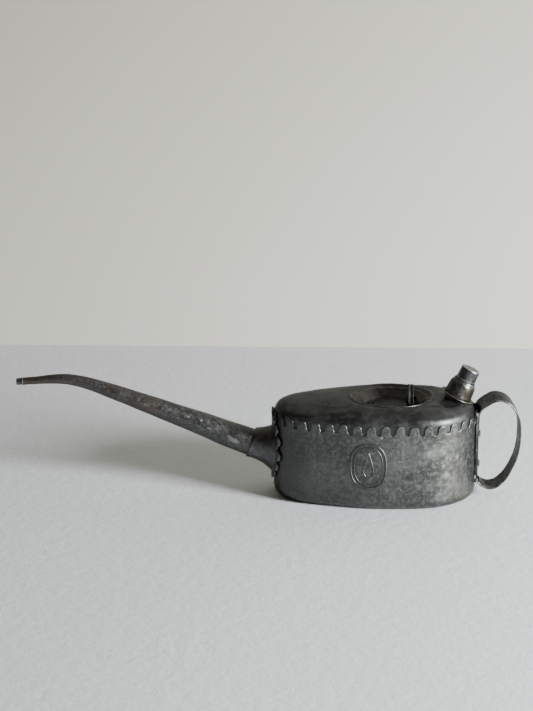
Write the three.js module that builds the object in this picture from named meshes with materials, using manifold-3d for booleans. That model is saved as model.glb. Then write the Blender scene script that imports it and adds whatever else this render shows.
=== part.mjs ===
// Long-spouted hand oiler: oval pressed-steel can with a domed cover, a spring-shut
// filler flap, a thumb-button air valve, a tapered spout and a D-shaped strap handle.
//
// Frame: millimetres, +Z up. Origin at the middle of the flat base. +X points to the
// handle, the spout runs out along -X, and Y is across the can (the can is
// symmetrical about the XZ plane).

import * as THREE from 'three';
import { mergeVertices } from 'three/addons/utils/BufferGeometryUtils.js';
import Module from 'manifold-3d';

const wasm = await Module();
wasm.setup();

// ---------------------------------------------------------------- dimensions
const GAP = 0.3;                 // clearance between pieces that touch

// oval body (superellipse plan)
const BODY_A = 78.5;             // half length
const BODY_B = 47.0;             // half width
const OVAL_N = 2.24;             // superellipse exponent
const WALL_T = 1.0;              // sheet thickness of wall and bottom
const EDGE_R = 7.8;              // bottom edge radius
const TAB_COUNT = 38;            // clinched tabs round the seam
const TAB_COLS = 3;              // lattice columns per tab
const TAB_TOP = 66.6;            // top of a tab
const TAB_GAP = 59.6;            // bottom of the slot between two tabs
const SEAM_PHASE = 1.3;          // distance of a slot from the middle of the -Y side
// the plan is a little slimmer towards the spout and fuller towards the handle
const SLIM = 0.085, SLIM_X = -38, SLIM_W = 28;
const FULL = 0.085, FULL_X = 51, FULL_W = 24;

// domed cover
const COVER_T = 0.9;
const SKIRT_BOTTOM = 54.0;
const DOME = [                   // inset from the wall line, height
  [1.3, 67.2], [2.1, 69.6], [4.6, 72.4], [10.5, 75.8], [18.0, 77.1], [30.0, 77.6],
];
// the crown falls off towards the spout and is fuller at the two handle-side shoulders
const FALL = 1.6, RISE = 1.4;

// filler: dish, flap and hinge
const FILL_X = 12.0;             // filler centre
const DISH_R = 32.8;             // rim radius
const DISH_RIM_Z = 77.7;
const SEAT_Z = 68.4;             // flat seat for the flap
const SEAT_R = 18.4;
const THROAT_R = 14.5;
const FLAP_R = 17.2;
const PIN_X = 27.6, PIN_Z = 73.2, PIN_R = 1.0;
const LOOP_HALF = 8.5, LOOP_TOP = 87.0, LOOP_W = 3.6, LOOP_T = 1.2, LOOP_X = 26.7;

// air valve, its axis leans to the handle
const LEAN = THREE.MathUtils.degToRad(25);
const NECK_X = 62.3, NECK_Z = 77.4;      // point where the axis meets the cover
const CAP_TOP = 25.0, CAP_BOTTOM = 11.9; // along the axis from that point
const CAP_R_TOP = 7.4, CAP_R = 7.5;
const NECK_TOP = 14.3, NECK_BORE = 8.0, LEDGE = 6.5;
const FLANGE_R = 13.6;

// spout: centre line (x, z) and outer diameter, tip first
const SPOUT = [
  [-271.0, 86.9, 5.8], [-266.2, 87.3, 5.9], [-260.0, 87.8, 6.1], [-253.8, 88.4, 6.5],
  [-247.6, 88.8, 6.9], [-241.4, 88.9, 7.4], [-235.2, 88.5, 8.0], [-229.0, 87.4, 8.7],
  [-222.9, 86.0, 9.4], [-216.7, 84.2, 10.0], [-204.5, 80.1, 11.1], [-192.2, 75.7, 12.2],
  [-180.0, 71.1, 13.4], [-167.6, 66.5, 14.5], [-155.3, 61.8, 15.8], [-143.0, 57.2, 17.1],
  [-130.6, 52.6, 18.3], [-118.2, 47.9, 19.5], [-105.9, 43.4, 20.6], [-97.0, 40.0, 21.2],
  [-91.0, 37.8, 21.6],
];
const SPOUT_WALL = 0.8;

// spout socket and its scalloped plate on the end of the can
const MOUTH_X = -95.5, MOUTH_Z = 39.5;
const PLATE_Z0 = 12.0, PLATE_Z1 = 67.4, PLATE_HALF = 21.5, PLATE_T = 0.9;
const SCALLOPS = 16;

// handle strap: loop centre line in the XZ plane
const STRAP_T = 1.3;
const HANDLE = [
  [79.8, 65.5], [81.8, 69.8], [85.4, 74.0], [89.2, 76.8], [93.6, 77.8], [98.6, 76.8],
  [103.0, 74.0], [106.4, 69.4], [109.8, 63.0], [111.3, 55.0], [111.4, 47.0], [110.6, 39.0],
  [108.9, 30.8], [105.8, 22.7], [101.6, 14.9], [97.4, 10.4], [93.6, 7.4], [89.6, 6.3],
  [85.9, 7.1], [82.6, 9.4], [80.2, 12.4],
];
const HANDLE_HALF = [[0, 14.6], [0.2, 13.8], [0.36, 12.6], [0.5, 11.0], [0.62, 9.7], [0.72, 9.5], [0.84, 10.4], [1, 10.8]];
const RIVETS_Z = [48.0, 24.0];
const RIVET_R = 1.5;

// ---------------------------------------------------------------- materials
const mat = (color, roughness, metalness) =>
  new THREE.MeshStandardMaterial({ color, roughness, metalness });
const tinned = () => mat(0x55585c, 0.45, 0.9);
const darkSteel = () => mat(0x46484b, 0.5, 0.9);
const polished = () => mat(0x7d8084, 0.35, 1.0);
const brass = () => mat(0x9a7b42, 0.4, 1.0);
const springSteel = () => mat(0x6c6f73, 0.35, 1.0);
const leather = () => mat(0x4a3222, 0.85, 0.0);
const solder = () => mat(0x8d9092, 0.5, 0.8);

// ---------------------------------------------------------------- helpers
function weld(geometry) {
  const g = geometry.clone();
  for (const name of Object.keys(g.attributes)) if (name !== 'position') g.deleteAttribute(name);
  let m = mergeVertices(g, 1e-3);
  const idx = m.index.array, keep = [];
  for (let i = 0; i < idx.length; i += 3) {
    const [a, b, c] = [idx[i], idx[i + 1], idx[i + 2]];
    if (a !== b && b !== c && c !== a) keep.push(a, b, c);
  }
  m.setIndex(keep);
  m = mergeVertices(m, 1e-3);
  if (volume(m) < 0) {
    const ix = m.index.array;
    for (let i = 0; i < ix.length; i += 3) { const t = ix[i]; ix[i] = ix[i + 1]; ix[i + 1] = t; }
  }
  return m;
}

function volume(g) {
  const p = g.attributes.position, ix = g.index.array;
  const a = new THREE.Vector3(), b = new THREE.Vector3(), c = new THREE.Vector3();
  let v = 0;
  for (let i = 0; i < ix.length; i += 3) {
    a.fromBufferAttribute(p, ix[i]); b.fromBufferAttribute(p, ix[i + 1]); c.fromBufferAttribute(p, ix[i + 2]);
    v += a.dot(b.cross(c)) / 6;
  }
  return v;
}

function solid(geometry) {
  const g = weld(geometry);
  return new wasm.Manifold(new wasm.Mesh({
    numProp: 3,
    vertProperties: new Float32Array(g.attributes.position.array),
    triVerts: new Uint32Array(g.index.array),
  }));
}

function fromSolid(manifold) {
  const m = manifold.getMesh();
  const g = new THREE.BufferGeometry();
  const n = m.vertProperties.length / m.numProp;
  const pos = new Float32Array(n * 3);
  for (let i = 0; i < n; i++)
    for (let k = 0; k < 3; k++) pos[i * 3 + k] = m.vertProperties[i * m.numProp + k];
  g.setAttribute('position', new THREE.BufferAttribute(pos, 3));
  g.setIndex(new THREE.BufferAttribute(new Uint32Array(m.triVerts), 1));
  return g;
}

const moved = (g, x = 0, y = 0, z = 0) => g.clone().translate(x, y, z);

// a turned part standing on +Z: profile is a list of [radius, height]
function turned(profile, segments = 32) {
  const g = new THREE.LatheGeometry(profile.map(([r, h]) => new THREE.Vector2(r, h)), segments);
  g.rotateX(Math.PI / 2);
  return weld(g);
}

// a lathe lattice whose rings are reshaped: place(ring, column) gives each point
function reshapedLathe(rings, segments, place, closed = true) {
  const pts = rings.map((_, i) => new THREE.Vector2(1, i));
  if (closed) pts.push(new THREE.Vector2(1, rings.length));
  const g = new THREE.LatheGeometry(pts, segments);
  const p = g.attributes.position;
  const v = new THREE.Vector3();
  for (let i = 0; i < p.count; i++) {
    v.fromBufferAttribute(p, i);
    const ring = Math.round(v.y) % rings.length;
    const phi = Math.atan2(v.x, v.z);
    const col = ((Math.round(phi / (2 * Math.PI) * segments) % segments) + segments) % segments;
    const q = place(rings[ring], col, ring);
    p.setXYZ(i, q[0], q[1], q[2]);
  }
  return weld(g);
}

// flat shape in the XZ plane, extruded across Y between y0 and y1
function plateXZ(shape, y0, y1, steps = 1, curveSegments = 10) {
  const g = new THREE.ExtrudeGeometry(shape, { depth: y1 - y0, steps, bevelEnabled: false, curveSegments });
  const p = g.attributes.position;
  for (let i = 0; i < p.count; i++) p.setXYZ(i, p.getX(i), y0 + p.getZ(i), p.getY(i));
  return g;
}

// rod along Y
const rodY = (r, y0, y1, x, z, seg = 20) =>
  new THREE.CylinderGeometry(r, r, y1 - y0, seg).translate(x, (y0 + y1) / 2, z);
// rod along X
const rodX = (r, x0, x1, y, z, seg = 20) =>
  new THREE.CylinderGeometry(r, r, x1 - x0, seg).rotateZ(Math.PI / 2).translate((x0 + x1) / 2, y, z);
// rod along Z
const rodZ = (r, z0, z1, x, y, seg = 32) =>
  new THREE.CylinderGeometry(r, r, z1 - z0, seg).rotateX(Math.PI / 2).translate(x, y, (z0 + z1) / 2);

const root = new THREE.Group();
const valve = new THREE.Group();           // upright valve pieces, leaned as a set
valve.position.set(NECK_X, 0, NECK_Z);
valve.rotation.y = LEAN;
root.add(valve);

function put(name, geometry, material, parent = root) {
  const g = weld(geometry);
  g.computeVertexNormals();
  const mesh = new THREE.Mesh(g, material);
  mesh.name = name;
  parent.add(mesh);
  return mesh;
}

// ---------------------------------------------------------------- oval lattice
const COLS = TAB_COUNT * TAB_COLS;
const girth = (x) => 1 - SLIM * Math.exp(-(((x - SLIM_X) / SLIM_W) ** 2)) + FULL * Math.exp(-(((x - FULL_X) / FULL_W) ** 2));
const superPoint = (t, a, b) => {
  const c = Math.cos(t), s = Math.sin(t);
  const x = Math.sign(c) * a * Math.pow(Math.abs(c), 2 / OVAL_N);
  return [x, Math.sign(s) * b * Math.pow(Math.abs(s), 2 / OVAL_N) * girth(x)];
};
// column parameters at equal steps along the wall, a slot centred near the -Y middle
const columnT = (() => {
  const M = 24000, ts = [], ss = [0];
  let prev = superPoint(-Math.PI / 2, BODY_A, BODY_B);
  ts.push(-Math.PI / 2);
  for (let i = 1; i <= M; i++) {
    const t = -Math.PI / 2 + 2 * Math.PI * i / M;
    const q = superPoint(t, BODY_A, BODY_B);
    ss.push(ss[i - 1] + Math.hypot(q[0] - prev[0], q[1] - prev[1]));
    ts.push(t);
    prev = q;
  }
  const total = ss[M], out = [];
  let k = 0;
  for (let j = 0; j < COLS; j++) {
    const want = total * j / COLS + SEAM_PHASE;
    while (ss[k + 1] < want) k++;
    const f = (want - ss[k]) / (ss[k + 1] - ss[k]);
    out.push(ts[k] + f * (ts[k + 1] - ts[k]));
  }
  return out;
})();
const ovalPoint = (col, b, skip = 1) => {
  const a = b + (BODY_A - BODY_B) * Math.min(1, b / (0.8 * BODY_B));
  return superPoint(columnT[(col * skip) % COLS], a, b);
};
// distance of the wall line from the middle at a given y, at the +X end or (side -1) the -X end
const wallX = (y, a = BODY_A, b = BODY_B, side = 1) => {
  let x = a;
  for (let i = 0; i < 30; i++)
    x = 0.5 * (x + a * Math.pow(Math.max(0, 1 - Math.pow(Math.abs(y) / (b * girth(side * x)), OVAL_N)), 1 / OVAL_N));
  return x;
};
// change of the cover's height from the even crown
const ramp = (t) => { const u = Math.min(1, Math.max(0, t)); return u * u * (3 - 2 * u); };
const crown = (x, y, inset) => ramp((inset - 1.3) / 8) *
  (RISE * Math.exp(-(((x - 43) / 15) ** 2)) * ramp((Math.abs(y) - 14) / 14) - FALL * ramp((-x - 15) / 40));

// ---------------------------------------------------------------- body shell
const isSlot = (col) => col % TAB_COLS === 0;
{
  const rings = [];                         // [inset, z, isTop]
  const arc = (r, inset0, steps) => {
    const out = [];
    for (let i = 0; i <= steps; i++) {
      const a = -Math.PI / 2 + (Math.PI / 2) * i / steps;
      out.push([inset0 + r * (1 - Math.cos(a)), inset0 + r * (1 + Math.sin(a))]);
    }
    return out;
  };
  rings.push([BODY_B, 0]);
  for (const q of arc(EDGE_R, 0, 3)) rings.push(q);
  rings.push([0, TAB_TOP, 1]);
  rings.push([WALL_T, TAB_TOP, 1]);
  for (const q of arc(EDGE_R - WALL_T, WALL_T, 2).reverse()) rings.push(q);
  rings.push([BODY_B, WALL_T]);
  const g = reshapedLathe(rings, COLS, ([inset, z, top], col) => {
    const [x, y] = ovalPoint(col, BODY_B - inset);
    return [x, y, top ? (isSlot(col) ? TAB_GAP : TAB_TOP) : z];
  }, false);
  let s = solid(g);
  const cut = new THREE.CylinderGeometry(1, 1, 16, 32).rotateZ(Math.PI / 2)
    .scale(1, 10.5, 11.5).translate(-BODY_A, 0, 34.5);
  s = s.subtract(solid(cut));
  for (const z of RIVETS_Z) s = s.subtract(solid(rodX(RIVET_R + GAP, BODY_A - 6, BODY_A + 6, 0, z, 14)));
  put('body_shell', fromSolid(s), tinned());
}

// ---------------------------------------------------------------- cover
const COVER_COLS = COLS / 2;
function domeLattice(lift, closeAt) {
  // outer face of the cover raised by lift, closed below by a flat face at closeAt
  const rings = [[BODY_B, closeAt], [1.3 - lift, closeAt]];
  for (const [d, z] of DOME) rings.push([d - lift * 0.4, z + lift]);
  rings.push([BODY_B, DOME[DOME.length - 1][1] + lift]);
  return reshapedLathe(rings, COVER_COLS, ([inset, z], col) => {
    const [x, y] = ovalPoint(col, BODY_B - inset, 2);
    return [x, y, z > SKIRT_BOTTOM ? z + crown(x, y, inset) : z];
  }, false);
}
const leaned = (g) => g.clone().rotateY(LEAN).translate(NECK_X, 0, NECK_Z);
{
  const outer = [[1.3, SKIRT_BOTTOM], ...DOME, [BODY_B, DOME[DOME.length - 1][1]]];
  const inner = [[1.3 + COVER_T, SKIRT_BOTTOM]];
  for (let i = 0; i < DOME.length; i++) {
    const a = i ? DOME[i - 1] : [1.3, SKIRT_BOTTOM], b = DOME[i], c = DOME[i + 1] ?? [BODY_B, DOME[i][1]];
    const dx = c[0] - a[0], dz = c[1] - a[1], L = Math.hypot(dx, dz);
    inner.push([b[0] + COVER_T * dz / L, b[1] - COVER_T * dx / L]);
  }
  inner.push([BODY_B, DOME[DOME.length - 1][1] - COVER_T]);
  const rings = [...outer.slice().reverse(), ...inner];
  const g = reshapedLathe(rings, COVER_COLS, ([inset, z], col) => {
    const [x, y] = ovalPoint(col, BODY_B - inset, 2);
    return [x, y, z > SKIRT_BOTTOM ? z + crown(x, y, inset) : z];
  }, false);
  let s = solid(g);
  s = s.subtract(solid(rodZ(DISH_R - 1.2, 60, 90, FILL_X, 0, 36)));
  s = s.subtract(solid(leaned(rodZ(9.2 + GAP + 0.1, -12, 14, 0, 0, 32))));
  put('top_cover', fromSolid(s), darkSteel());
}

// ---------------------------------------------------------------- filler dish
{
  const t = 0.9, R = DISH_R, z = DISH_RIM_Z;
  // rolled rim that rests over the cover's edge, funnel, flat seat, short throat
  const profile = [
    [R - 1.7, z - 1.6], [R - 1.7, z - 0.2], [R - 1.1, z + 0.35], [R - 0.2, z + 0.5], [R + 0.3, z + 0.85],
    [R - 0.3, z + 1.15], [R - 1.3, z + 0.95], [R - 2.6, z - 0.1], [28.0, z - 2.6], [22.5, z - 5.7],
    [SEAT_R + 0.8, SEAT_Z + 1.6], [SEAT_R, SEAT_Z], [THROAT_R, SEAT_Z], [THROAT_R, SEAT_Z - 4.4],
    [THROAT_R + t, SEAT_Z - 4.4], [THROAT_R + t, SEAT_Z - t], [SEAT_R + 0.7, SEAT_Z - t],
    [SEAT_R + 1.6, SEAT_Z + 0.9], [22.9, z - 6.6], [28.4, z - 3.5], [R - 2.3, z - 1.6], [R - 1.7, z - 1.6],
  ];
  put('filler_dish', moved(turned(profile, 36), FILL_X, 0, 0), darkSteel());
}

// hinge ears on the seat edge, one each side of the loop
function ear(y0, y1) {
  const s = new THREE.Shape();
  s.moveTo(PIN_X - 2.3, PIN_Z - 3.0);
  s.lineTo(PIN_X + 4.4, PIN_Z - 0.4);
  s.lineTo(PIN_X + 4.0, PIN_Z + 0.7);
  s.absarc(PIN_X, PIN_Z, 2.3, 0.25, Math.PI, false);
  s.lineTo(PIN_X - 2.3, PIN_Z - 3.0);
  const hole = new THREE.Path();
  hole.absarc(PIN_X, PIN_Z, PIN_R + GAP, 0, Math.PI * 2, true);
  s.holes.push(hole);
  return plateXZ(s, y0, y1, 1, 12);
}
put('hinge_ear_near', ear(-12.2, -11.0), darkSteel());
put('hinge_ear_far', ear(11.0, 12.2), darkSteel());
put('hinge_pin', rodY(PIN_R, -13.2, 13.2, PIN_X, PIN_Z, 16), polished());

// ---------------------------------------------------------------- flap set
put('filler_flap', moved(turned([
  [0, SEAT_Z + 2.0], [0, SEAT_Z + 2.9], [FLAP_R - 3.2, SEAT_Z + 2.7], [FLAP_R - 0.8, SEAT_Z + 2.3],
  [FLAP_R, SEAT_Z + 1.8], [FLAP_R - 0.3, SEAT_Z + 1.4], [FLAP_R - 2.8, SEAT_Z + 1.6], [0, SEAT_Z + 2.0],
], 32), FILL_X, 0, 0), darkSteel());
put('flap_gasket', moved(turned([
  [1.8, SEAT_Z + 0.3], [16.2, SEAT_Z + 0.3], [16.2, SEAT_Z + 1.1], [1.8, SEAT_Z + 1.1], [1.8, SEAT_Z + 0.3],
], 24), FILL_X, 0, 0), leather());
put('gasket_retainer', moved(turned([
  [1.8, SEAT_Z - 0.9], [11.5, SEAT_Z - 0.9], [11.9, SEAT_Z - 0.5], [11.5, SEAT_Z], [1.8, SEAT_Z], [1.8, SEAT_Z - 0.9],
], 24), FILL_X, 0, 0), tinned());
put('gasket_rivet', moved(turned([
  [0, SEAT_Z - 2.4], [1.8, SEAT_Z - 2.2], [2.9, SEAT_Z - 1.2], [1.5, SEAT_Z - 1.2], [1.5, SEAT_Z + 1.7], [0, SEAT_Z + 1.7],
], 12), FILL_X, 0, 0), brass());
{
  // arched loop seen along X: half-round top, two legs with eyes for the pin, feet turned in
  const ro = LOOP_HALF + LOOP_T / 2, ri = LOOP_HALF - LOOP_T / 2;
  const zc = LOOP_TOP - ro, zf = SEAT_Z + 2.9 + GAP;
  const s = new THREE.Shape();
  s.moveTo(ro, zf);
  s.lineTo(ro, zc);
  s.absarc(0, zc, ro, 0, Math.PI, false);
  s.lineTo(-ro, zf);
  s.lineTo(-ri + 3.0, zf);
  s.lineTo(-ri + 3.0, zf + 1.0);
  s.lineTo(-ri, zf + 1.0);
  s.lineTo(-ri, zc);
  s.absarc(0, zc, ri, Math.PI, 0, true);
  s.lineTo(ri, zf + 1.0);
  s.lineTo(ri - 3.0, zf + 1.0);
  s.lineTo(ri - 3.0, zf);
  s.lineTo(ro, zf);
  const g = new THREE.ExtrudeGeometry(s, { depth: LOOP_W, steps: 1, bevelEnabled: false, curveSegments: 14 });
  const p = g.attributes.position;
  for (let i = 0; i < p.count; i++) p.setXYZ(i, LOOP_X - LOOP_W / 2 + p.getZ(i), p.getX(i), p.getY(i));
  const eye = (y0, y1) => {
    const e = new THREE.Shape();
    e.absarc(PIN_X - 0.2, PIN_Z, 2.2, 0, Math.PI * 2, false);
    return plateXZ(e, y0, y1, 1, 10);
  };
  let m = solid(g).add(solid(eye(-ro, -ri))).add(solid(eye(ri, ro)));
  m = m.subtract(solid(rodY(PIN_R + GAP, -20, 20, PIN_X, PIN_Z, 16)));
  put('thumb_loop', fromSolid(m), darkSteel());
}
{
  // torsion spring wound on the pin between the legs of the loop
  class Coil extends THREE.Curve {
    getPoint(u, target = new THREE.Vector3()) {
      const turns = 4.5, r = 1.75;
      const a = Math.PI / 2 + u * turns * 2 * Math.PI;
      return target.set(PIN_X + r * Math.cos(a), -3.2 + 6.4 * u, PIN_Z + r * Math.sin(a));
    }
  }
  const c = new THREE.Shape();
  c.absarc(0, 0, 0.32, 0, Math.PI * 2, false);
  put('flap_spring', new THREE.ExtrudeGeometry(c, { steps: 40, bevelEnabled: false, extrudePath: new Coil(), curveSegments: 3 }), springSteel());
}

// ---------------------------------------------------------------- valve neck and flange
put('valve_neck', turned([
  [9.2, -3.2], [9.2, 1.5], [10.5, 1.6], [10.5, 4.0], [10.2, 8.0], [9.7, 11.2], [8.9, 13.0], [8.6, 14.0], [8.35, NECK_TOP],
  [NECK_BORE, NECK_TOP], [NECK_BORE, LEDGE], [2.3, LEDGE], [2.3, LEDGE - 1.3], [7.6, LEDGE - 1.3], [7.6, -3.2], [9.2, -3.2],
], 28), tinned(), valve);
{
  let ring = solid(leaned(turned([
    [9.5, 0.4], [FLANGE_R - 0.3, 0.6], [FLANGE_R, 1.1], [FLANGE_R - 0.4, 1.5], [9.5, 1.4], [9.5, 0.4],
  ], 30)));
  ring = ring.subtract(solid(domeLattice(GAP, 50)));
  put('neck_flange', fromSolid(ring), tinned());
}
put('valve_seat', turned([
  [3.4, -3.0], [7.3, -3.0], [7.3, -0.8], [3.4, -0.8], [3.4, -3.0],
], 20), brass(), valve);

// ---------------------------------------------------------------- button set
put('thumb_button', turned([
  [0, CAP_TOP - 0.9], [0, CAP_TOP], [CAP_R_TOP - 1.2, CAP_TOP - 0.1], [CAP_R_TOP - 0.3, CAP_TOP - 0.5], [CAP_R_TOP, CAP_TOP - 1.4],
  [CAP_R, CAP_BOTTOM + 3.4], [CAP_R, CAP_BOTTOM], [CAP_R - 0.7, CAP_BOTTOM], [CAP_R_TOP - 0.8, CAP_TOP - 1.6], [CAP_R_TOP - 1.6, CAP_TOP - 0.9],
  [0, CAP_TOP - 0.9],
], 28), polished(), valve);
put('valve_stem', turned([
  [0, -8.6], [1.1, -8.6], [1.4, -8.2], [1.4, 22.7], [2.4, 22.9], [2.4, 23.8], [0, 23.8],
], 14), springSteel(), valve);
put('valve_washer', turned([
  [1.8, -4.6], [6.3, -4.6], [6.3, -3.3], [1.8, -3.3], [1.8, -4.6],
], 20), leather(), valve);
put('valve_disc', turned([
  [1.8, -5.9], [6.0, -5.9], [6.4, -5.5], [6.4, -4.9], [1.8, -4.9], [1.8, -5.9],
], 20), brass(), valve);
{
  const hex = new THREE.Shape();
  for (let i = 0; i < 6; i++) {
    const a = i * Math.PI / 3;
    hex[i ? 'lineTo' : 'moveTo'](3.2 * Math.cos(a), 3.2 * Math.sin(a));
  }
  hex.closePath();
  const hole = new THREE.Path();
  hole.absarc(0, 0, 1.4 + GAP, 0, Math.PI * 2, true);
  hex.holes.push(hole);
  put('valve_nut', moved(new THREE.ExtrudeGeometry(hex, { depth: 1.7, bevelEnabled: false, curveSegments: 8 }), 0, 0, -7.9), brass(), valve);
}
{
  class Helix extends THREE.Curve {
    getPoint(u, target = new THREE.Vector3()) {
      const a = u * 6 * 2 * Math.PI;
      return target.set(4.7 * Math.cos(a), 4.7 * Math.sin(a), 7.35 + 15.7 * u);
    }
  }
  const c = new THREE.Shape();
  c.absarc(0, 0, 0.45, 0, Math.PI * 2, false);
  put('valve_spring', new THREE.ExtrudeGeometry(c, { steps: 56, bevelEnabled: false, extrudePath: new Helix(), curveSegments: 3 }), springSteel(), valve);
}

// ---------------------------------------------------------------- spout
const spoutLine = new THREE.CatmullRomCurve3(SPOUT.map(([x, z]) => new THREE.Vector3(x, 0, z)), false, 'centripetal');
function spoutFrame(i) {
  // frame at node i of the centre line: point, in-plane normal and cross direction
  const u = i / (SPOUT.length - 1);
  const p = spoutLine.getPoint(u), t = spoutLine.getTangent(u);
  return { p, n: new THREE.Vector3(-t.z, 0, t.x), d: SPOUT[i][2] };
}
{
  const seg = 14, rings = [];
  for (let i = 0; i < SPOUT.length; i++) rings.push([i, 0]);
  for (let i = SPOUT.length - 1; i >= 0; i--) rings.push([i, SPOUT_WALL]);
  const g = reshapedLathe(rings, seg, ([i, inset], col) => {
    const f = spoutFrame(i), r = f.d / 2 - inset, a = 2 * Math.PI * col / seg;
    return [f.p.x + f.n.x * r * Math.cos(a), r * Math.sin(a), f.p.z + f.n.z * r * Math.cos(a)];
  });
  put('spout_tube', g, darkSteel());
}
{
  // nozzle with a collar; a spigot enters the end of the tube
  const t = spoutLine.getTangent(0);
  const tilt = Math.atan2(-t.x, -t.z);
  const g = turned([
    [1.2, -3.0], [1.75, -3.0], [1.75, 0.3], [3.3, 0.3], [3.6, 0.8], [3.3, 1.4], [2.75, 1.6], [2.6, 5.4], [2.35, 5.7], [1.7, 5.7], [1.2, 3.0], [1.2, -3.0],
  ], 14);
  g.rotateY(tilt).translate(SPOUT[0][0], 0, SPOUT[0][1]);
  put('spout_tip', g, polished());
}
{
  // flared socket: mouth ring round the tube, bell, then a plate lapped on the end wall
  const seg = 48;
  const axis = new THREE.Vector3(-0.94, 0, 0.342);
  const nrm = new THREE.Vector3(0.342, 0, 0.94);
  const zc = (PLATE_Z0 + PLATE_Z1) / 2, zh = (PLATE_Z1 - PLATE_Z0) / 2;
  const tubeR = (x) => {
    let i = SPOUT.length - 2;
    while (i > 0 && SPOUT[i][0] > x) i--;
    const f = (x - SPOUT[i][0]) / (SPOUT[i + 1][0] - SPOUT[i][0]);
    return (SPOUT[i][2] + f * (SPOUT[i + 1][2] - SPOUT[i][2])) / 2;
  };
  const onWall = (y, z, out) => [-wallX(y, BODY_A + out, BODY_B + out, -1), y, z];
  const oval = (a, zc0, hz, hy, n = 2.3) => {
    const c = Math.cos(a), s = Math.sin(a);
    return [Math.sign(s) * hy * Math.pow(Math.abs(s), 2 / n), zc0 + Math.sign(c) * hz * Math.pow(Math.abs(c), 2 / n)];
  };
  // mouth ring at distance k along the axis from the mouth centre, towards the can
  const ringAt = (k, r) => (a) => [
    MOUTH_X - axis.x * k + nrm.x * r * Math.cos(a), r * Math.sin(a), MOUTH_Z - axis.z * k + nrm.z * r * Math.cos(a)];
  const wallRing = (out, z0, hz, hy) => (a) => { const [y, z] = oval(a, z0, hz, hy, 2.0); return onWall(y, z, out); };
  const edge = (out, shrink) => (a) => {
    const k = 1 - shrink + 0.045 * Math.pow(Math.abs(Math.cos(a * SCALLOPS / 2)), 0.7);
    const [y, z] = oval(a, zc, zh * k / 1.045, PLATE_HALF * k / 1.045);
    return onWall(y, z, out);
  };
  const mix = (f, g, w) => (a) => { const p = f(a), q = g(a); return p.map((v, i) => v + (q[i] - v) * w); };
  const rt = tubeR(MOUTH_X);
  const mo = ringAt(0, rt + GAP + 0.9), fo = wallRing(GAP + PLATE_T, 34.6, 17.6, 17.0);
  const mi = ringAt(0, rt + GAP), fi = wallRing(GAP, 34.6, 16.9, 16.2);
  const bell = (f, g, k, w) => (a) => {         // k along the axis, w outwards, eased to a fillet
    const p = f(a), q = g(a);
    const x = p[0] + (q[0] - p[0]) * k;
    return [x, p[1] + (q[1] - p[1]) * w, p[2] + (q[2] - p[2]) * w];
  };
  const rings = [
    mi, ringAt(0.2, rt + GAP + 0.7), mo, bell(mo, fo, 0.3, 0.20), bell(mo, fo, 0.6, 0.46), bell(mo, fo, 0.85, 0.77), fo,
    edge(GAP + PLATE_T, 0.02), edge(GAP + PLATE_T - 0.3, 0), edge(GAP, 0), fi,
    bell(mi, fi, 0.85, 0.77), bell(mi, fi, 0.6, 0.48), bell(mi, fi, 0.3, 0.24),
  ];
  rings.splice(1, 1);
  put('spout_socket', reshapedLathe(rings, seg, (ring, col) => ring(2 * Math.PI * col / seg)), tinned());
}

// ---------------------------------------------------------------- handle
{
  const line = new THREE.CatmullRomCurve3(HANDLE.map(([x, z]) => new THREE.Vector3(x, 0, z)), false, 'centripetal');
  const N = 30, outer = [], inner = [], where = [];
  for (let i = 0; i <= N; i++) {
    const p = line.getPointAt(i / N), t = line.getTangentAt(i / N);
    const nx = -t.z, nz = t.x;             // left of the direction of travel
    outer.push([p.x + nx * STRAP_T / 2, p.z + nz * STRAP_T / 2]);
    inner.push([p.x - nx * STRAP_T / 2, p.z - nz * STRAP_T / 2]);
    where.push([p.x, p.z]);
  }
  // the flat leg that lies on the wall closes the loop
  const xw = BODY_A + GAP;
  const legs = [];
  const K = 4;
  for (let i = 0; i <= K; i++) legs.push(15 + (63 - 15) * i / K);
  const sh = new THREE.Shape();
  sh.moveTo(xw, 13.6);
  const out2 = outer.slice().reverse();
  for (const q of out2) sh.lineTo(Math.max(q[0], xw), q[1]);
  for (let i = K; i >= 0; i--) sh.lineTo(xw, legs[i]);
  sh.closePath();
  const hole = new THREE.Path();
  hole.moveTo(xw + STRAP_T, 16);
  for (let i = 1; i <= K; i++) hole.lineTo(xw + STRAP_T, legs[i] - (i === K ? 0 : 0));
  for (const q of inner) if (q[0] > xw + STRAP_T + 0.05) hole.lineTo(q[0], q[1]);
  hole.closePath();
  sh.holes.push(hole);
  const steps = 4;
  const g = new THREE.ExtrudeGeometry(sh, { depth: 2, steps, bevelEnabled: false, curveSegments: 4 });
  const p = g.attributes.position;
  const half = (x, z) => {
    // fraction along the loop of the nearest centre-line point
    let best = 1e9, at = 0;
    for (let i = 0; i <= N; i++) {
      const d = Math.hypot(where[i][0] - x, where[i][1] - z);
      if (d < best) { best = d; at = i / N; }
    }
    if (x < xw + STRAP_T + 0.5 && z < 62 && z > 14) at = 1 - (z - 12) / 54;
    for (let i = 1; i < HANDLE_HALF.length; i++) {
      const [a0, w0] = HANDLE_HALF[i - 1], [a1, w1] = HANDLE_HALF[i];
      if (at <= a1) return w0 + (w1 - w0) * (at - a0) / (a1 - a0);
    }
    return HANDLE_HALF[HANDLE_HALF.length - 1][1];
  };
  for (let i = 0; i < p.count; i++) {
    const x = p.getX(i), z = p.getY(i), k = p.getZ(i) - 1;   // k from -1 to 1 across
    const y = k * half(x, z);
    // near the can the strap is bent to the curve of the wall
    const hug = Math.min(1, Math.max(0, (xw + 9 - x) / 7));
    p.setXYZ(i, x - hug * (BODY_A - wallX(y)), y, z);
  }
  let s = solid(g);
  for (const z of RIVETS_Z) s = s.subtract(solid(rodX(RIVET_R + GAP, BODY_A - 6, BODY_A + 6, 0, z, 14)));
  put('handle_strap', fromSolid(s), darkSteel());
}
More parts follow.
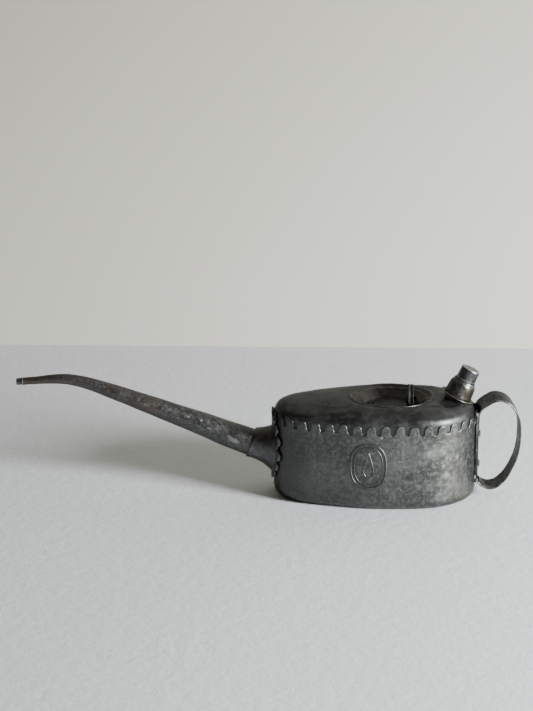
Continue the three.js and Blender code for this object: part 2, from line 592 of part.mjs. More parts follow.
// rivets through the strap and the wall, one mesh each
RIVETS_Z.forEach((z, i) => {
  const x1 = BODY_A + GAP + STRAP_T + GAP, x0 = BODY_A - WALL_T - GAP;
  const g = turned([
    [0, x0 - 0.9], [2.0, x0 - 0.9], [2.6, x0 - 0.3], [2.6, x0 - 0.1], [RIVET_R, x0 - 0.1], [RIVET_R, x1 + 0.1],
    [2.9, x1 + 0.1], [2.7, x1 + 0.6], [1.6, x1 + 1.1], [0, x1 + 1.2],
  ], 14);
  g.rotateY(Math.PI / 2).translate(0, 0, z);
  put(['handle_rivet_upper', 'handle_rivet_lower'][i], g, solder());
});

export default root;
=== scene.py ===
import math
import bpy
import numpy as np
from mathutils import Vector, Matrix


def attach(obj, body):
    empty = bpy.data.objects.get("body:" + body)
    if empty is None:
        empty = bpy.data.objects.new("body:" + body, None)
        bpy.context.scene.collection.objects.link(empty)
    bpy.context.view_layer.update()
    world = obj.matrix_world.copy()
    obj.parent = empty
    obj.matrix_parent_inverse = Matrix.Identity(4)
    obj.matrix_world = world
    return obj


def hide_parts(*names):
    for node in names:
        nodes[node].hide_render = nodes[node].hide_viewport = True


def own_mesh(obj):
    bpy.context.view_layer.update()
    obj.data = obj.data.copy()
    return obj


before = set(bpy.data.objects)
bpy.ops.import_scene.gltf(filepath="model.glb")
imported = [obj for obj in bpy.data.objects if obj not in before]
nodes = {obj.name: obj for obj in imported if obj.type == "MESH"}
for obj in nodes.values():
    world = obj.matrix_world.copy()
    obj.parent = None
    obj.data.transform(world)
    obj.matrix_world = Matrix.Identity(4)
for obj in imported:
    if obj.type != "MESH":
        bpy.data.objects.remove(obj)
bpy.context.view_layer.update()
scene = bpy.context.scene
MM = 0.001
PI = math.pi

# ------------------------------------------------------------------ numbers of the part, in millimetres
A, B, OVAL_N = 78.5, 47.0, 2.24
WALL_T, EDGE_R = 1.0, 7.8
TABS, TAB_TOP, SLOT_Z = 38, 66.2, 60.6
SEAM_PHASE = 1.3
FILL_X, DISH_R, RIM_Z, SEAT_Z, SEAT_R = 12.0, 32.8, 77.7, 68.4, 18.4
PIN_X, PIN_Z = 27.6, 73.2
LOOP_X, LOOP_TOP, LOOP_HALF = 26.7, 87.0, 8.5
LEAN = math.radians(25)
NECK_X, NECK_Z = 62.3, 77.4
CAP_TOP, CAP_BOTTOM, NECK_TOP = 25.0, 11.9, 14.3
GAP = 0.3
SLIM, SLIM_X, SLIM_W = 0.085, -38.0, 28.0
FULL, FULL_X, FULL_W = 0.085, 51.0, 24.0
FALL, RISE = 1.6, 1.4


# ------------------------------------------------------------------ camera
cam_data = bpy.data.cameras.new("camera")
cam_data.sensor_width = 36.0
cam_data.lens = 1700.0 * 36.0 / 711.0
cam_data.clip_start, cam_data.clip_end = 0.05, 50.0
cam = bpy.data.objects.new("camera", cam_data)
scene.collection.objects.link(cam)
cam.location = (-0.04645, -1.25607, 0.44339)
look = Vector((-0.02867, 0.96591, -0.25730))
cam.rotation_euler = look.to_track_quat("-Z", "Y").to_euler()
scene.camera = cam


# ------------------------------------------------------------------ shape helpers
def smooth(t):
    t = np.clip(t, 0.0, 1.0)
    return t * t * (3 - 2 * t)


def wobble(p, scale, seed):
    """Smooth pseudo-random field from crossed sine waves, about -1 to 1. p is (n, 3) in mm, scale in mm."""
    rng = np.random.RandomState(seed)
    out = np.zeros(len(p))
    for _ in range(7):
        k = rng.normal(size=3)
        k = k / np.linalg.norm(k) * rng.uniform(0.6, 1.6) * 2 * PI / scale
        out += np.sin(p @ k + rng.uniform(0, 2 * PI))
    return out / 3.2


def girth(x):
    return 1 - SLIM * np.exp(-((x - SLIM_X) / SLIM_W) ** 2) + FULL * np.exp(-((x - FULL_X) / FULL_W) ** 2)


def sup(t, a, b):
    c, s = np.cos(t), np.sin(t)
    x = np.sign(c) * a * np.abs(c) ** (2 / OVAL_N)
    return x, np.sign(s) * b * np.abs(s) ** (2 / OVAL_N) * girth(x)


_T = np.linspace(-PI / 2, 1.5 * PI, 24001)
_x, _y = sup(_T, A, B)
_S = np.r_[0, np.cumsum(np.hypot(np.diff(_x), np.diff(_y)))]
PERIM = _S[-1]


def oval(s, inset):
    """Points of the body's plan curve at arc length s (0 is the middle of the -Y side), moved in by inset."""
    t = np.interp(np.mod(s, PERIM), _S, _T)
    b = B - np.asarray(inset, float)
    a = b + (A - B) * np.minimum(1, b / (0.8 * B))
    return sup(t, a, b)


def wall_x(y, out=0.0, side=1):
    """Distance of the wall line from the middle at y, at the +X end or (side -1) the -X end."""
    a, b = A + out, B + out
    x = np.full(np.shape(y), a, float)
    for _ in range(40):
        x = 0.5 * (x + a * np.maximum(0, 1 - (np.abs(y) / (b * girth(side * x))) ** OVAL_N) ** (1 / OVAL_N))
    return x


def wall_y(x, out=0.0):
    """Distance of the wall line from the mid-plane at x."""
    return (B + out) * np.maximum(0, 1 - (np.abs(x) / (A + out)) ** OVAL_N) ** (1 / OVAL_N) * girth(x)


def crown(x, y, inset):
    """Change of the cover's height from the even crown."""
    return smooth((inset - 1.3) / 8) * (RISE * np.exp(-((x - 43) / 15) ** 2) * smooth((np.abs(y) - 14) / 14) - FALL * smooth((-x - 15) / 40))


def inset_of(x, y):
    """How far inside the wall line the point is, as the b of the ring through it."""
    x, y = np.asarray(x, float), np.abs(np.asarray(y, float))
    y = y / girth(x)
    x = np.abs(x)
    lo, hi = np.full(x.shape, 1e-3), np.full(x.shape, B + 5.0)
    for _ in range(40):
        b = (lo + hi) / 2
        a = b + (A - B) * np.minimum(1, b / (0.8 * B))
        inside = (x / a) ** OVAL_N + (y / b) ** OVAL_N < 1
        hi = np.where(inside, b, hi)
        lo = np.where(inside, lo, b)
    return B - (lo + hi) / 2


DOME_D = np.array([-2.0, 1.3, 1.5, 2.1, 3.1, 4.6, 7.2, 10.5, 14.0, 18.0, 24.0, 30.0, 60.0])
DOME_Z = np.array([60.0, 66.6, 67.8, 69.5, 71.0, 72.4, 74.3, 75.8, 76.6, 77.1, 77.4, 77.6, 77.6])


def smooth_table(xs, ys):
    """Monotone cubic through a table."""
    h, d = np.diff(xs), np.diff(ys) / np.diff(xs)
    m = np.zeros(len(xs))
    for i in range(1, len(xs) - 1):
        if d[i - 1] * d[i] > 0:
            w1, w2 = 2 * h[i] + h[i - 1], h[i] + 2 * h[i - 1]
            m[i] = (w1 + w2) / (w1 / d[i - 1] + w2 / d[i])
    m[0], m[-1] = d[0], d[-1]

    def f(x):
        x = np.clip(x, xs[0], xs[-1])
        i = np.clip(np.searchsorted(xs, x) - 1, 0, len(xs) - 2)
        t = (x - xs[i]) / h[i]
        return ((1 + 2 * t) * (1 - t) ** 2 * ys[i] + t * (1 - t) ** 2 * h[i] * m[i]
                + t * t * (3 - 2 * t) * ys[i + 1] + t * t * (t - 1) * h[i] * m[i + 1])
    return f


dome_profile = smooth_table(DOME_D, DOME_Z)


def catmull(points, n, closed=False):
    """n points evenly spaced in length along a smooth curve through points."""
    P = np.array(points, float)
    m = len(P)
    dense = []
    for i in range(m if closed else m - 1):
        if closed:
            p0, p1, p2, p3 = P[(i - 1) % m], P[i], P[(i + 1) % m], P[(i + 2) % m]
        else:
            p1, p2 = P[i], P[i + 1]
            p0 = P[i - 1] if i > 0 else 2 * p1 - p2
            p3 = P[i + 2] if i + 2 < m else 2 * p2 - p1
        t0 = 0.0
        t1 = t0 + max(1e-6, np.linalg.norm(p1[:2] - p0[:2]) ** 0.5)
        t2 = t1 + max(1e-6, np.linalg.norm(p2[:2] - p1[:2]) ** 0.5)
        t3 = t2 + max(1e-6, np.linalg.norm(p3[:2] - p2[:2]) ** 0.5)
        for t in np.linspace(t1, t2, 24, endpoint=False):
            a1 = (t1 - t) / (t1 - t0) * p0 + (t - t0) / (t1 - t0) * p1
            a2 = (t2 - t) / (t2 - t1) * p1 + (t - t1) / (t2 - t1) * p2
            a3 = (t3 - t) / (t3 - t2) * p2 + (t - t2) / (t3 - t2) * p3
            b1 = (t2 - t) / (t2 - t0) * a1 + (t - t0) / (t2 - t0) * a2
            b2 = (t3 - t) / (t3 - t1) * a2 + (t - t1) / (t3 - t1) * a3
            dense.append((t2 - t) / (t2 - t1) * b1 + (t - t1) / (t2 - t1) * b2)
    dense.append(P[0] if closed else P[-1])
    D = np.array(dense)
    s = np.r_[0, np.cumsum(np.linalg.norm(np.diff(D[:, :2], axis=0), axis=1))]
    u = np.linspace(0, s[-1], n)
    return np.stack([np.interp(u, s, D[:, k]) for k in range(D.shape[1])], 1)


def build(name, rings, body, mat, close=False, cap0=False, cap1=False, sharp=38, wear=None, replaces=(), slot=None):
    """A mesh from rings of points in mm. Each ring closes on itself; close joins the last ring to the first."""
    n = len(rings[0])
    V = np.concatenate(rings) * MM
    m = len(rings)
    faces = []
    for i in range(m if close else m - 1):
        a, b = i * n, ((i + 1) % m) * n
        for j in range(n):
            k = (j + 1) % n
            faces.append((a + j, a + k, b + k, b + j))
    if cap0:
        faces.append(tuple(range(n))[::-1])
    if cap1:
        faces.append(tuple((m - 1) * n + j for j in range(n)))
    tri = np.array([(f[0], f[i], f[i + 1]) for f in faces for i in range(1, len(f) - 1)])
    vol = np.einsum("ij,ij->i", V[tri[:, 0]], np.cross(V[tri[:, 1]], V[tri[:, 2]])).sum()
    if vol < 0:
        faces = [f[::-1] for f in faces]
    me = bpy.data.meshes.new(name)
    me.from_pydata(V.tolist(), [], faces)
    me.validate()
    me.update()
    me.shade_smooth()
    me.set_sharp_from_angle(angle=math.radians(sharp))
    w = np.zeros(len(V)) if wear is None else np.concatenate(wear)
    if len(me.vertices) == len(V):
        att = me.attributes.new("wear", "FLOAT", "POINT")
        att.data.foreach_set("value", w.astype(np.float32))
    ob = bpy.data.objects.new(name, me)
    scene.collection.objects.link(ob)
    me.materials.append(mat)
    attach(ob, body)
    if replaces:
        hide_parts(*replaces)
    return ob


def revolve(name, profile, body, mat, seg=96, centre=(0, 0), lean=False, dent=0.0, seed=1, wear=None, **kw):
    """Rings round a vertical axis from [radius, height] points; lean stands it on the valve axis."""
    a = np.linspace(0, 2 * PI, seg, endpoint=False)
    rings, wears = [], []
    for i, (r, h) in enumerate(profile):
        r = max(r, 0.02)
        p = np.stack([r * np.cos(a), r * np.sin(a), np.full(seg, float(h))], 1)
        if dent and r > 1:
            f = 1 + dent * wobble(p, 9.0, seed) / r
            p[:, 0] *= f
            p[:, 1] *= f
        rings.append(p)
        wears.append(np.full(seg, 0.0 if wear is None else wear[i]))
    if lean:
        c, s = math.cos(LEAN), math.sin(LEAN)
        rings = [np.stack([p[:, 0] * c + p[:, 2] * s + NECK_X, p[:, 1], -p[:, 0] * s + p[:, 2] * c + NECK_Z], 1) for p in rings]
    else:
        rings = [p + np.array([centre[0], centre[1], 0]) for p in rings]
    return build(name, rings, body, mat, wear=wears, **kw)


def fine(profile, step=0.5, sharp_at=()):
    """Resample a [radius, height] profile with a smooth curve, kept sharp at the given indices."""
    out, start = [], 0
    stops = sorted(set(list(sharp_at) + [0, len(profile) - 1]))
    for a, b in zip(stops[:-1], stops[1:]):
        seg = profile[a:b + 1]
        L = sum(math.dist(seg[i], seg[i + 1]) for i in range(len(seg) - 1))
        n = max(2, int(L / step) + 1)
        pts = catmull(seg, n) if len(seg) > 2 else np.linspace(seg[0], seg[1], n)
        out += [tuple(p) for p in pts[(1 if out else 0):]]
    return out


# ------------------------------------------------------------------ materials
class Graph:
    def __init__(self, name):
        self.mat = bpy.data.materials.new(name)
        self.mat.use_nodes = True
        self.t = self.mat.node_tree
        self.t.nodes.clear()
        self.out = self.t.nodes.new("ShaderNodeOutputMaterial")
        self.bsdf = self.t.nodes.new("ShaderNodeBsdfPrincipled")
        self.t.links.new(self.bsdf.outputs[0], self.out.inputs[0])
        self.co = self.t.nodes.new("ShaderNodeTexCoord").outputs["Object"]

    def link(self, a, b):
        self.t.links.new(a, b)

    def scaled(self, sx, sy, sz, rot=(0, 0, 0), loc=(0, 0, 0)):
        m = self.t.nodes.new("ShaderNodeMapping")
        m.inputs["Scale"].default_value = (sx, sy, sz)
        m.inputs["Rotation"].default_value = rot
        m.inputs["Location"].default_value = loc
        self.link(self.co, m.inputs[0])
        return m.outputs[0]

    def noise(self, scale, detail=4, rough=0.55, vec=None, distort=0.0):
        n = self.t.nodes.new("ShaderNodeTexNoise")
        n.inputs["Scale"].default_value = scale
        n.inputs["Detail"].default_value = detail
        n.inputs["Roughness"].default_value = rough
        n.inputs["Distortion"].default_value = distort
        self.link(vec or self.co, n.inputs["Vector"])
        return n.outputs["Fac"]

    def ramp(self, fac, lo, hi, a=0.0, b=1.0):
        r = self.t.nodes.new("ShaderNodeMapRange")
        r.interpolation_type = "SMOOTHSTEP"
        r.inputs["From Min"].default_value = lo
        r.inputs["From Max"].default_value = hi
        r.inputs["To Min"].default_value = a
        r.inputs["To Max"].default_value = b
        self.link(fac, r.inputs["Value"])
        return r.outputs[0]

    def math(self, op, a, b=None):
        m = self.t.nodes.new("ShaderNodeMath")
        m.operation = op
        for i, v in enumerate((a, b)):
            if v is None:
                continue
            if isinstance(v, (int, float)):
                m.inputs[i].default_value = v
            else:
                self.link(v, m.inputs[i])
        return m.outputs[0]

    def mix(self, fac, a, b, kind="MIX"):
        m = self.t.nodes.new("ShaderNodeMix")
        m.data_type = "RGBA"
        m.blend_type = kind
        if isinstance(fac, (int, float)):
            m.inputs["Factor"].default_value = fac
        else:
            self.link(fac, m.inputs["Factor"])
        for sock, v in ((6, a), (7, b)):
            if isinstance(v, tuple):
                m.inputs[sock].default_value = (*v, 1.0)
            else:
                self.link(v, m.inputs[sock])
        return m.outputs[2]

    def axis(self, name):
        s = self.t.nodes.new("ShaderNodeSeparateXYZ")
        self.link(self.co, s.inputs[0])
        return s.outputs[name]

    def attr(self, name):
        a = self.t.nodes.new("ShaderNodeAttribute")
        a.attribute_name = name
        return a.outputs["Fac"]

    def bump(self, parts):
        """parts: (height, strength, distance in metres)"""
        last = None
        for h, strength, dist in parts:
            b = self.t.nodes.new("ShaderNodeBump")
            b.inputs["Strength"].default_value = strength
            b.inputs["Distance"].default_value = dist
            self.link(h, b.inputs["Height"])
            if last is not None:
                self.link(last, b.inputs["Normal"])
            last = b.outputs[0]
        self.link(last, self.bsdf.inputs["Normal"])


def g3(v, warm=0.0):
    """A grey of that linear value, a little warm or cool."""
    return (v * (1 + warm), v, v * (1 - warm))


def patina(name, dark, mid, light, metallic=0.85, rough=(0.32, 0.55), blotch=45.0, mottle=230.0,
           streak=None, streak_amt=0.5, specks=0.35, bump=1.0, tint=None, tint_amt=0.0, tint_mask=None,
           wear=0.8, wear_color=(0.42, 0.43, 0.44), seed=0.0, extra=None, film=0.0, edge=0.6):
    g = Graph(name)
    g.bsdf.inputs["Specular Tint"].default_value = (edge, edge, edge, 1.0)
    g.bsdf.inputs["Specular IOR Level"].default_value = 0.35
    if film:
        g.bsdf.inputs["Coat Weight"].default_value = film
        g.bsdf.inputs["Coat Roughness"].default_value = 0.16
        g.bsdf.inputs["Coat IOR"].default_value = 1.45
    base = g.scaled(1, 1, 1, loc=(seed, seed * 0.7, seed * 1.3))
    n_blotch = g.noise(blotch, 5, 0.6, base, 0.4)
    n_mottle = g.noise(mottle, 6, 0.65, base, 0.3)
    n_fine = g.noise(1500.0, 3, 0.6, base)
    f_blotch = g.ramp(n_blotch, 0.38, 0.62)
    f_mottle = g.ramp(n_mottle, 0.42, 0.66)
    col = g.mix(f_blotch, dark, mid)
    col = g.mix(g.math("MULTIPLY", f_mottle, 0.55), col, light)
    col = g.mix(g.math("MULTIPLY", g.ramp(n_fine, 0.5, 0.7), 0.25), col, light)
    heights = [(n_fine, 0.10 * bump, 0.0003), (n_mottle, 0.22 * bump, 0.0006)]
    rough_src = g.math("ADD", g.math("MULTIPLY", f_mottle, 0.5), g.math("MULTIPLY", f_blotch, 0.5))
    if streak:
        for k, (sx, sy, sz, rot) in enumerate(streak):
            v = g.scaled(sx, sy, sz, rot, loc=(seed + k * 3.1, 0.3 * k, 0.7 * k))
            n = g.noise(1.0, 4, 0.7, v)
            lines = g.ramp(n, 0.58, 0.74)
            col = g.mix(g.math("MULTIPLY", lines, streak_amt), col, light)
            heights.append((n, 0.12 * bump, 0.0004))
    if specks:
        s = g.noise(620.0, 2, 0.5, g.scaled(1, 1, 1, loc=(4.2 + seed, 1.1, 2.3)))
        col = g.mix(g.math("MULTIPLY", g.ramp(s, 0.68, 0.74), specks), col, tuple(min(1, v * 1.9) for v in light))
        d = g.noise(420.0, 2, 0.5, g.scaled(1, 1, 1, loc=(1.2, 5.1 + seed, 0.3)))
        col = g.mix(g.math("MULTIPLY", g.ramp(d, 0.66, 0.73), specks), col, tuple(v * 0.45 for v in dark))
    if tint:
        m = g.math("MULTIPLY", g.ramp(g.noise(38.0, 5, 0.65, g.scaled(1, 1, 1, loc=(9.1, seed, 2.2))), 0.40, 0.62), tint_amt)
        if tint_mask:
            m = g.math("MULTIPLY", m, tint_mask(g))
        col = g.mix(m, col, tint)
    if extra:
        col = extra(g, col)
    w = g.math("MULTIPLY", g.attr("wear"), g.ramp(n_mottle, 0.35, 0.6, 0.35, 1.0))
    col = g.mix(g.math("MULTIPLY", w, wear), col, wear_color)
    g.link(col, g.bsdf.inputs["Base Color"])
    g.link(g.ramp(rough_src, 0.0, 1.0, rough[0], rough[1]), g.bsdf.inputs["Roughness"])
    g.bsdf.inputs["Metallic"].default_value = metallic
    g.bump(heights)
    return g.mat


def local_marks(marks, tilt=0.0, stretch=1.0):
    """Scuffs and dark spots: (x, z, radius, width, strength, colour, x_from, x_to) in mm, drawn out along the tilt."""
    ct, st = math.cos(tilt), math.sin(tilt)

    def apply(g, col):
        X, Z = g.axis("X"), g.axis("Z")
        n = g.noise(300.0, 4, 0.7)
        for cx, cz, r, w, strength, color, x0, x1 in marks:
            dx, dz = g.math("SUBTRACT", X, cx * MM), g.math("SUBTRACT", Z, cz * MM)
            du = g.math("ADD", g.math("MULTIPLY", dx, ct / stretch), g.math("MULTIPLY", dz, st / stretch))
            dv = g.math("ADD", g.math("MULTIPLY", dx, -st), g.math("MULTIPLY", dz, ct))
            d = g.math("SQRT", g.math("ADD", g.math("MULTIPLY", du, du), g.math("MULTIPLY", dv, dv)))
            d = g.math("ADD", d, g.math("MULTIPLY", g.math("SUBTRACT", n, 0.5), 0.0034))
            d = g.math("ABSOLUTE", g.math("SUBTRACT", d, r * MM))
            m = g.ramp(d, w * MM, w * 0.3 * MM)
            m = g.math("MULTIPLY", m, g.ramp(X, x0 * MM, (x0 + 1.5) * MM))
            m = g.math("MULTIPLY", m, g.ramp(X, x1 * MM, (x1 - 1.5) * MM))
            m = g.math("MULTIPLY", m, g.ramp(n, 0.32, 0.5, 0.25, 1.0))
            col = g.mix(g.math("MULTIPLY", m, strength), col, color)
        return col
    return apply


def x_mask(lo, hi):
    return lambda g: g.ramp(g.axis("X"), lo, hi)


PALE, DARK = (0.42, 0.43, 0.43), (0.03, 0.03, 0.03)
wall_marks = local_marks([
    (3.7, 58.0, 0.0, 1.2, 0.9, PALE, 0, 8), (50.6, 34.9, 0.0, 1.3, 0.8, PALE, 46, 55), (49.7, 41.1, 0.0, 3.2, 0.65, DARK, 43, 56),
    (52.5, 27.0, 0.0, 3.6, 0.35, PALE, 45, 60), (25.2, 27.1, 0.0, 4.8, 0.45, DARK, 17, 33), (-36.0, 44.0, 0.0, 3.4, 0.3, DARK, -42, -30),
    (-46.0, 33.0, 0.0, 3.0, 0.18, PALE, -56, -36), (61.0, 40.0, 0.0, 2.4, 0.4, PALE, 57, 66), (34.0, 50.0, 0.0, 2.6, 0.35, DARK, 29, 39),
    (12.0, 22.0, 0.0, 5.0, 0.25, DARK, 4, 20), (40.0, 45.0, 0.0, 6.0, 0.25, PALE, 30, 50)])
spout_marks = local_marks([
    (-133.5, 58.5, 0.0, 0.8, 0.85, PALE, -138, -129), (-127.5, 53.0, 0.0, 0.7, 0.75, PALE, -133, -122),
    (-112.0, 46.5, 0.0, 0.9, 0.5, PALE, -118, -106), (-108.5, 43.5, 0.0, 2.4, 0.4, PALE, -118, -100),
    (-144.0, 61.5, 0.0, 1.1, 0.45, PALE, -152, -137), (-158.0, 67.0, 0.0, 0.9, 0.4, PALE, -166, -150), (-176.0, 70.5, 0.0, 1.2, 0.3, PALE, -184, -168),
    (-151.0, 60.5, 0.0, 0.7, 0.4, PALE, -156, -146), (-204.0, 84.0, 0.0, 2.0, 0.5, (0.10, 0.062, 0.040), -212, -195),
    (-187.0, 74.0, 0.0, 1.8, 0.4, DARK, -193, -181), (-120.0, 47.0, 0.0, 1.6, 0.5, DARK, -128, -112)], math.radians(-20), 2.4)


def wall_extra(g, col):
    """Scuffs, a darker band between the beads of the pressed outline, painted shade on the tab tops and towards the -X
    end, and darker towards the bottom.
    """
    col = wall_marks(g, col)
    # a darker band between the two beads of the pressed outline, on the front of the can only
    dx = g.math("MULTIPLY", g.math("ABSOLUTE", g.math("ADD", g.axis("X"), 6.0 * MM)), 1 / (11.9 * MM))
    dz = g.math("MULTIPLY", g.math("ABSOLUTE", g.math("SUBTRACT", g.axis("Z"), 35.3 * MM)), 1 / (15.7 * MM))
    k = g.math("POWER", g.math("ADD", g.math("POWER", dx, 2.5), g.math("POWER", dz, 2.5)), 0.4)
    band = g.ramp(g.math("ABSOLUTE", g.math("SUBTRACT", k, 1.0)), 0.30, 0.04)
    front = g.ramp(g.axis("Y"), -0.02, -0.03)
    col = g.mix(g.math("MULTIPLY", g.math("MULTIPLY", band, front), 0.55), col, (0.045, 0.045, 0.042))
    # painted shade: the tops of the clinched tabs are darkened where they turn over onto the cover
    painted_tab_tip_shade = g.ramp(g.math("ADD", g.axis("Z"), g.math("MULTIPLY", g.noise(220.0, 3, 0.6), 0.003)), 0.0640, 0.0672)
    col = g.mix(g.math("MULTIPLY", painted_tab_tip_shade, 0.55), col, (0.035, 0.035, 0.036))
    # painted shade: the wall is darkened towards the -X end, away from the window light
    painted_left_shade = g.ramp(g.axis("X"), 0.030, -0.072)
    col = g.mix(g.math("MULTIPLY", painted_left_shade, 0.55), col, (0.038, 0.038, 0.038))
    low = g.ramp(g.math("ADD", g.axis("Z"), g.math("MULTIPLY", g.noise(60.0, 4, 0.6), 0.02)), 0.030, 0.012)
    return g.mix(g.math("MULTIPLY", low, 0.35), col, (0.050, 0.051, 0.047))


def painted_groove_shade(r0, r1, strength):
    """Painted shade in the groove round the flap seat: darker between two radii round the filler axis."""
    def apply(g, col):
        dx = g.math("SUBTRACT", g.axis("X"), FILL_X * MM)
        y = g.axis("Y")
        r = g.math("SQRT", g.math("ADD", g.math("MULTIPLY", dx, dx), g.math("MULTIPLY", y, y)))
        # painted shade: darkens the groove between the flap's edge and the dish wall
        m = g.math("MULTIPLY", g.ramp(r, r0 * MM, (r0 + 0.8) * MM), g.ramp(r, r1 * MM, (r1 - 1.2) * MM))
        return g.mix(g.math("MULTIPLY", m, strength), col, (0.008, 0.007, 0.006))
    return apply


wall_streaks = [(16, 16, 700, (0, 0, 0)), (760, 760, 30, (0, 0, 0)), (70, 70, 900, (0, 0, 0)), (420, 420, 50, (0.5, 0.3, 0.2))]
M_wall = patina("aged_tinned_wall", (0.058, 0.060, 0.057), (0.100, 0.103, 0.098), (0.195, 0.200, 0.190), 0.86, (0.30, 0.48), blotch=30.0, mottle=330.0,
                streak=wall_streaks, streak_amt=0.50, specks=0.45, bump=1.1,
                tint=(0.165, 0.156, 0.118), tint_amt=0.42, tint_mask=x_mask(0.035, 0.070), wear=0.7, wear_color=(0.34, 0.35, 0.35), seed=0.2, extra=wall_extra)
M_cover = patina("dark_burnished_cover", g3(0.032, -0.01), g3(0.050, -0.01), g3(0.092, -0.01), 0.85, (0.34, 0.50), blotch=26.0, mottle=160.0,
                 streak=[(9, 160, 160, (0, 0, 0.05)), (14, 300, 300, (0, 0, -0.1))], streak_amt=0.45, specks=0.15, bump=0.8, wear=0.35, seed=1.4, film=0.12, edge=0.22)
# the dish carries painted shade in the groove round the flap
M_dish = patina("dark_dish", g3(0.032, -0.02), g3(0.052, -0.02), g3(0.095, -0.02), 0.88, (0.26, 0.42), blotch=50.0, mottle=240.0,
                streak=[(40, 40, 900, (0, 0, 0))], streak_amt=0.3, specks=0.1, bump=0.6, wear=0.5, wear_color=(0.17, 0.175, 0.18),
                tint=(0.056, 0.044, 0.036), tint_amt=0.40, seed=2.1, film=0.12, edge=0.2, extra=painted_groove_shade(16.6, 20.4, 0.85))
M_spout = patina("dark_spout", g3(0.048, 0.005), g3(0.068, 0.005), g3(0.150, 0.0), 0.85, (0.32, 0.54), blotch=40.0, mottle=520.0,
                 streak=[(40, 520, 420, (0, 0.36, 0)), (90, 900, 900, (0, 0.36, 0.2))], streak_amt=0.50, specks=0.5, wear=0.6,
                 tint=(0.085, 0.066, 0.052), tint_amt=0.55, tint_mask=x_mask(-0.130, -0.175), seed=3.3, extra=spout_marks)
M_socket = patina("dark_socket", g3(0.048, 0.0), g3(0.078, 0.0), g3(0.150, 0.0), 0.85, (0.32, 0.52), blotch=70.0, mottle=260.0,
                  streak=[(200, 60, 60, (0, 0, 0))], streak_amt=0.35, specks=0.3, wear=0.2, seed=4.1)
M_handle = patina("strap_steel", g3(0.034, 0.0), g3(0.066, 0.0), g3(0.150, 0.0), 0.92, (0.24, 0.40), blotch=60.0, mottle=260.0,
                  streak=[(400, 12, 400, (0, 0, 0)), (60, 700, 60, (0, 0, 0))], streak_amt=0.40, specks=0.25, wear=0.45, wear_color=(0.22, 0.23, 0.24), seed=5.2, edge=0.34)
M_neck = patina("neck_steel", g3(0.040, 0.01), g3(0.070, 0.02), g3(0.140, 0.01), 0.88, (0.26, 0.46), blotch=120.0, mottle=420.0,
                streak=[(60, 60, 700, (0, -LEAN, 0))], streak_amt=0.3, specks=0.35, wear=0.45, wear_color=(0.32, 0.33, 0.33),
                tint=(0.085, 0.066, 0.038), tint_amt=0.75, edge=0.4,
                tint_mask=lambda g: g.math("MULTIPLY", g.ramp(g.axis("X"), 0.058, 0.074), g.ramp(g.axis("Z"), 0.093, 0.080)), seed=6.3)
M_cap = patina("handled_cap", g3(0.055, 0.0), g3(0.095, 0.0), g3(0.18, 0.0), 0.92, (0.24, 0.42), blotch=140.0, mottle=420.0,
               streak=[(60, 60, 700, (0, -LEAN, 0))], streak_amt=0.25, specks=0.3, wear=0.75, wear_color=(0.46, 0.48, 0.50), seed=7.7)
M_flap = patina("flap_steel", g3(0.030, 0.0), g3(0.042, 0.0), g3(0.072, 0.0), 0.88, (0.32, 0.48), blotch=60.0, mottle=260.0,
                streak=[(20, 300, 300, (0, 0, 0.3))], streak_amt=0.3, specks=0.2, wear=0.3, wear_color=(0.17, 0.175, 0.18), seed=8.5, film=0.08, edge=0.2)
M_loop = patina("loop_steel", g3(0.008, 0.01), g3(0.014, 0.01), g3(0.030, 0.01), 0.60, (0.55, 0.75), blotch=140.0, mottle=420.0,
                specks=0.2, wear=0.15, wear_color=(0.10, 0.10, 0.105), seed=9.4)
M_solder = patina("old_solder", g3(0.045, 0.02), g3(0.075, 0.02), g3(0.14, 0.01), 0.75, (0.46, 0.68), blotch=200.0, mottle=600.0,
                  specks=0.4, wear=0.3, seed=10.0)
M_brass = patina("dull_brass", (0.22, 0.15, 0.06), (0.36, 0.25, 0.10), (0.5, 0.38, 0.18), 0.95, (0.3, 0.5), specks=0.2, wear=0.3, seed=11.0)
M_spring = patina("spring_wire", g3(0.2), g3(0.3), g3(0.42), 0.95, (0.22, 0.4), mottle=700.0, specks=0.2, wear=0.3, seed=12.0)
M_leather = patina("oiled_leather", (0.03, 0.018, 0.010), (0.06, 0.035, 0.02), (0.10, 0.065, 0.04), 0.0, (0.6, 0.85), mottle=900.0,
                   specks=0.1, bump=2.0, wear=0.2, wear_color=(0.14, 0.09, 0.06), seed=13.0)


# ------------------------------------------------------------------ body shell
def tab_outline():
    """Arc length and height of the clinched edge, all the way round."""
    half = [(0.0, 59.5), (0.85, 59.7), (1.55, 60.3), (2.0, 61.2), (2.15, 62.3), (2.22, 63.6), (2.5, 64.8), (3.15, 65.9), (4.15, 66.5)]
    P = PERIM / TABS
    rng = np.random.RandomState(7)
    s, z, m = [], [], []
    for k in range(TABS):
        c = SEAM_PHASE + k * P
        dz0, dz1, w = rng.uniform(-0.35, 0.35), rng.uniform(-0.3, 0.3), rng.uniform(0.88, 1.12)
        pts = [(q[0] * w, q[1]) for q in half] + [(P / 2, 66.6)] + [(P - q[0] * w, q[1]) for q in half[:0:-1]]
        for q in pts:
            f = (q[1] - 59.5) / 7.1
            s.append(c + q[0] + 0.25 * math.sin(k * 2.3) * f)
            z.append(q[1] + dz0 * (1 - f) + dz1 * f)
            m.append(f)
    return np.array(s), np.array(z), np.array(m)


ts, tz, tm = tab_outline()
_ds = np.roll(ts, -1) - np.roll(ts, 1)
_ds[0] += PERIM
_ds[-1] += PERIM
_dz = np.roll(tz, -1) - np.roll(tz, 1)
_l = np.hypot(_ds, _dz)
tns, tnz = -_dz / _l, _ds / _l                     # outward, away from the metal


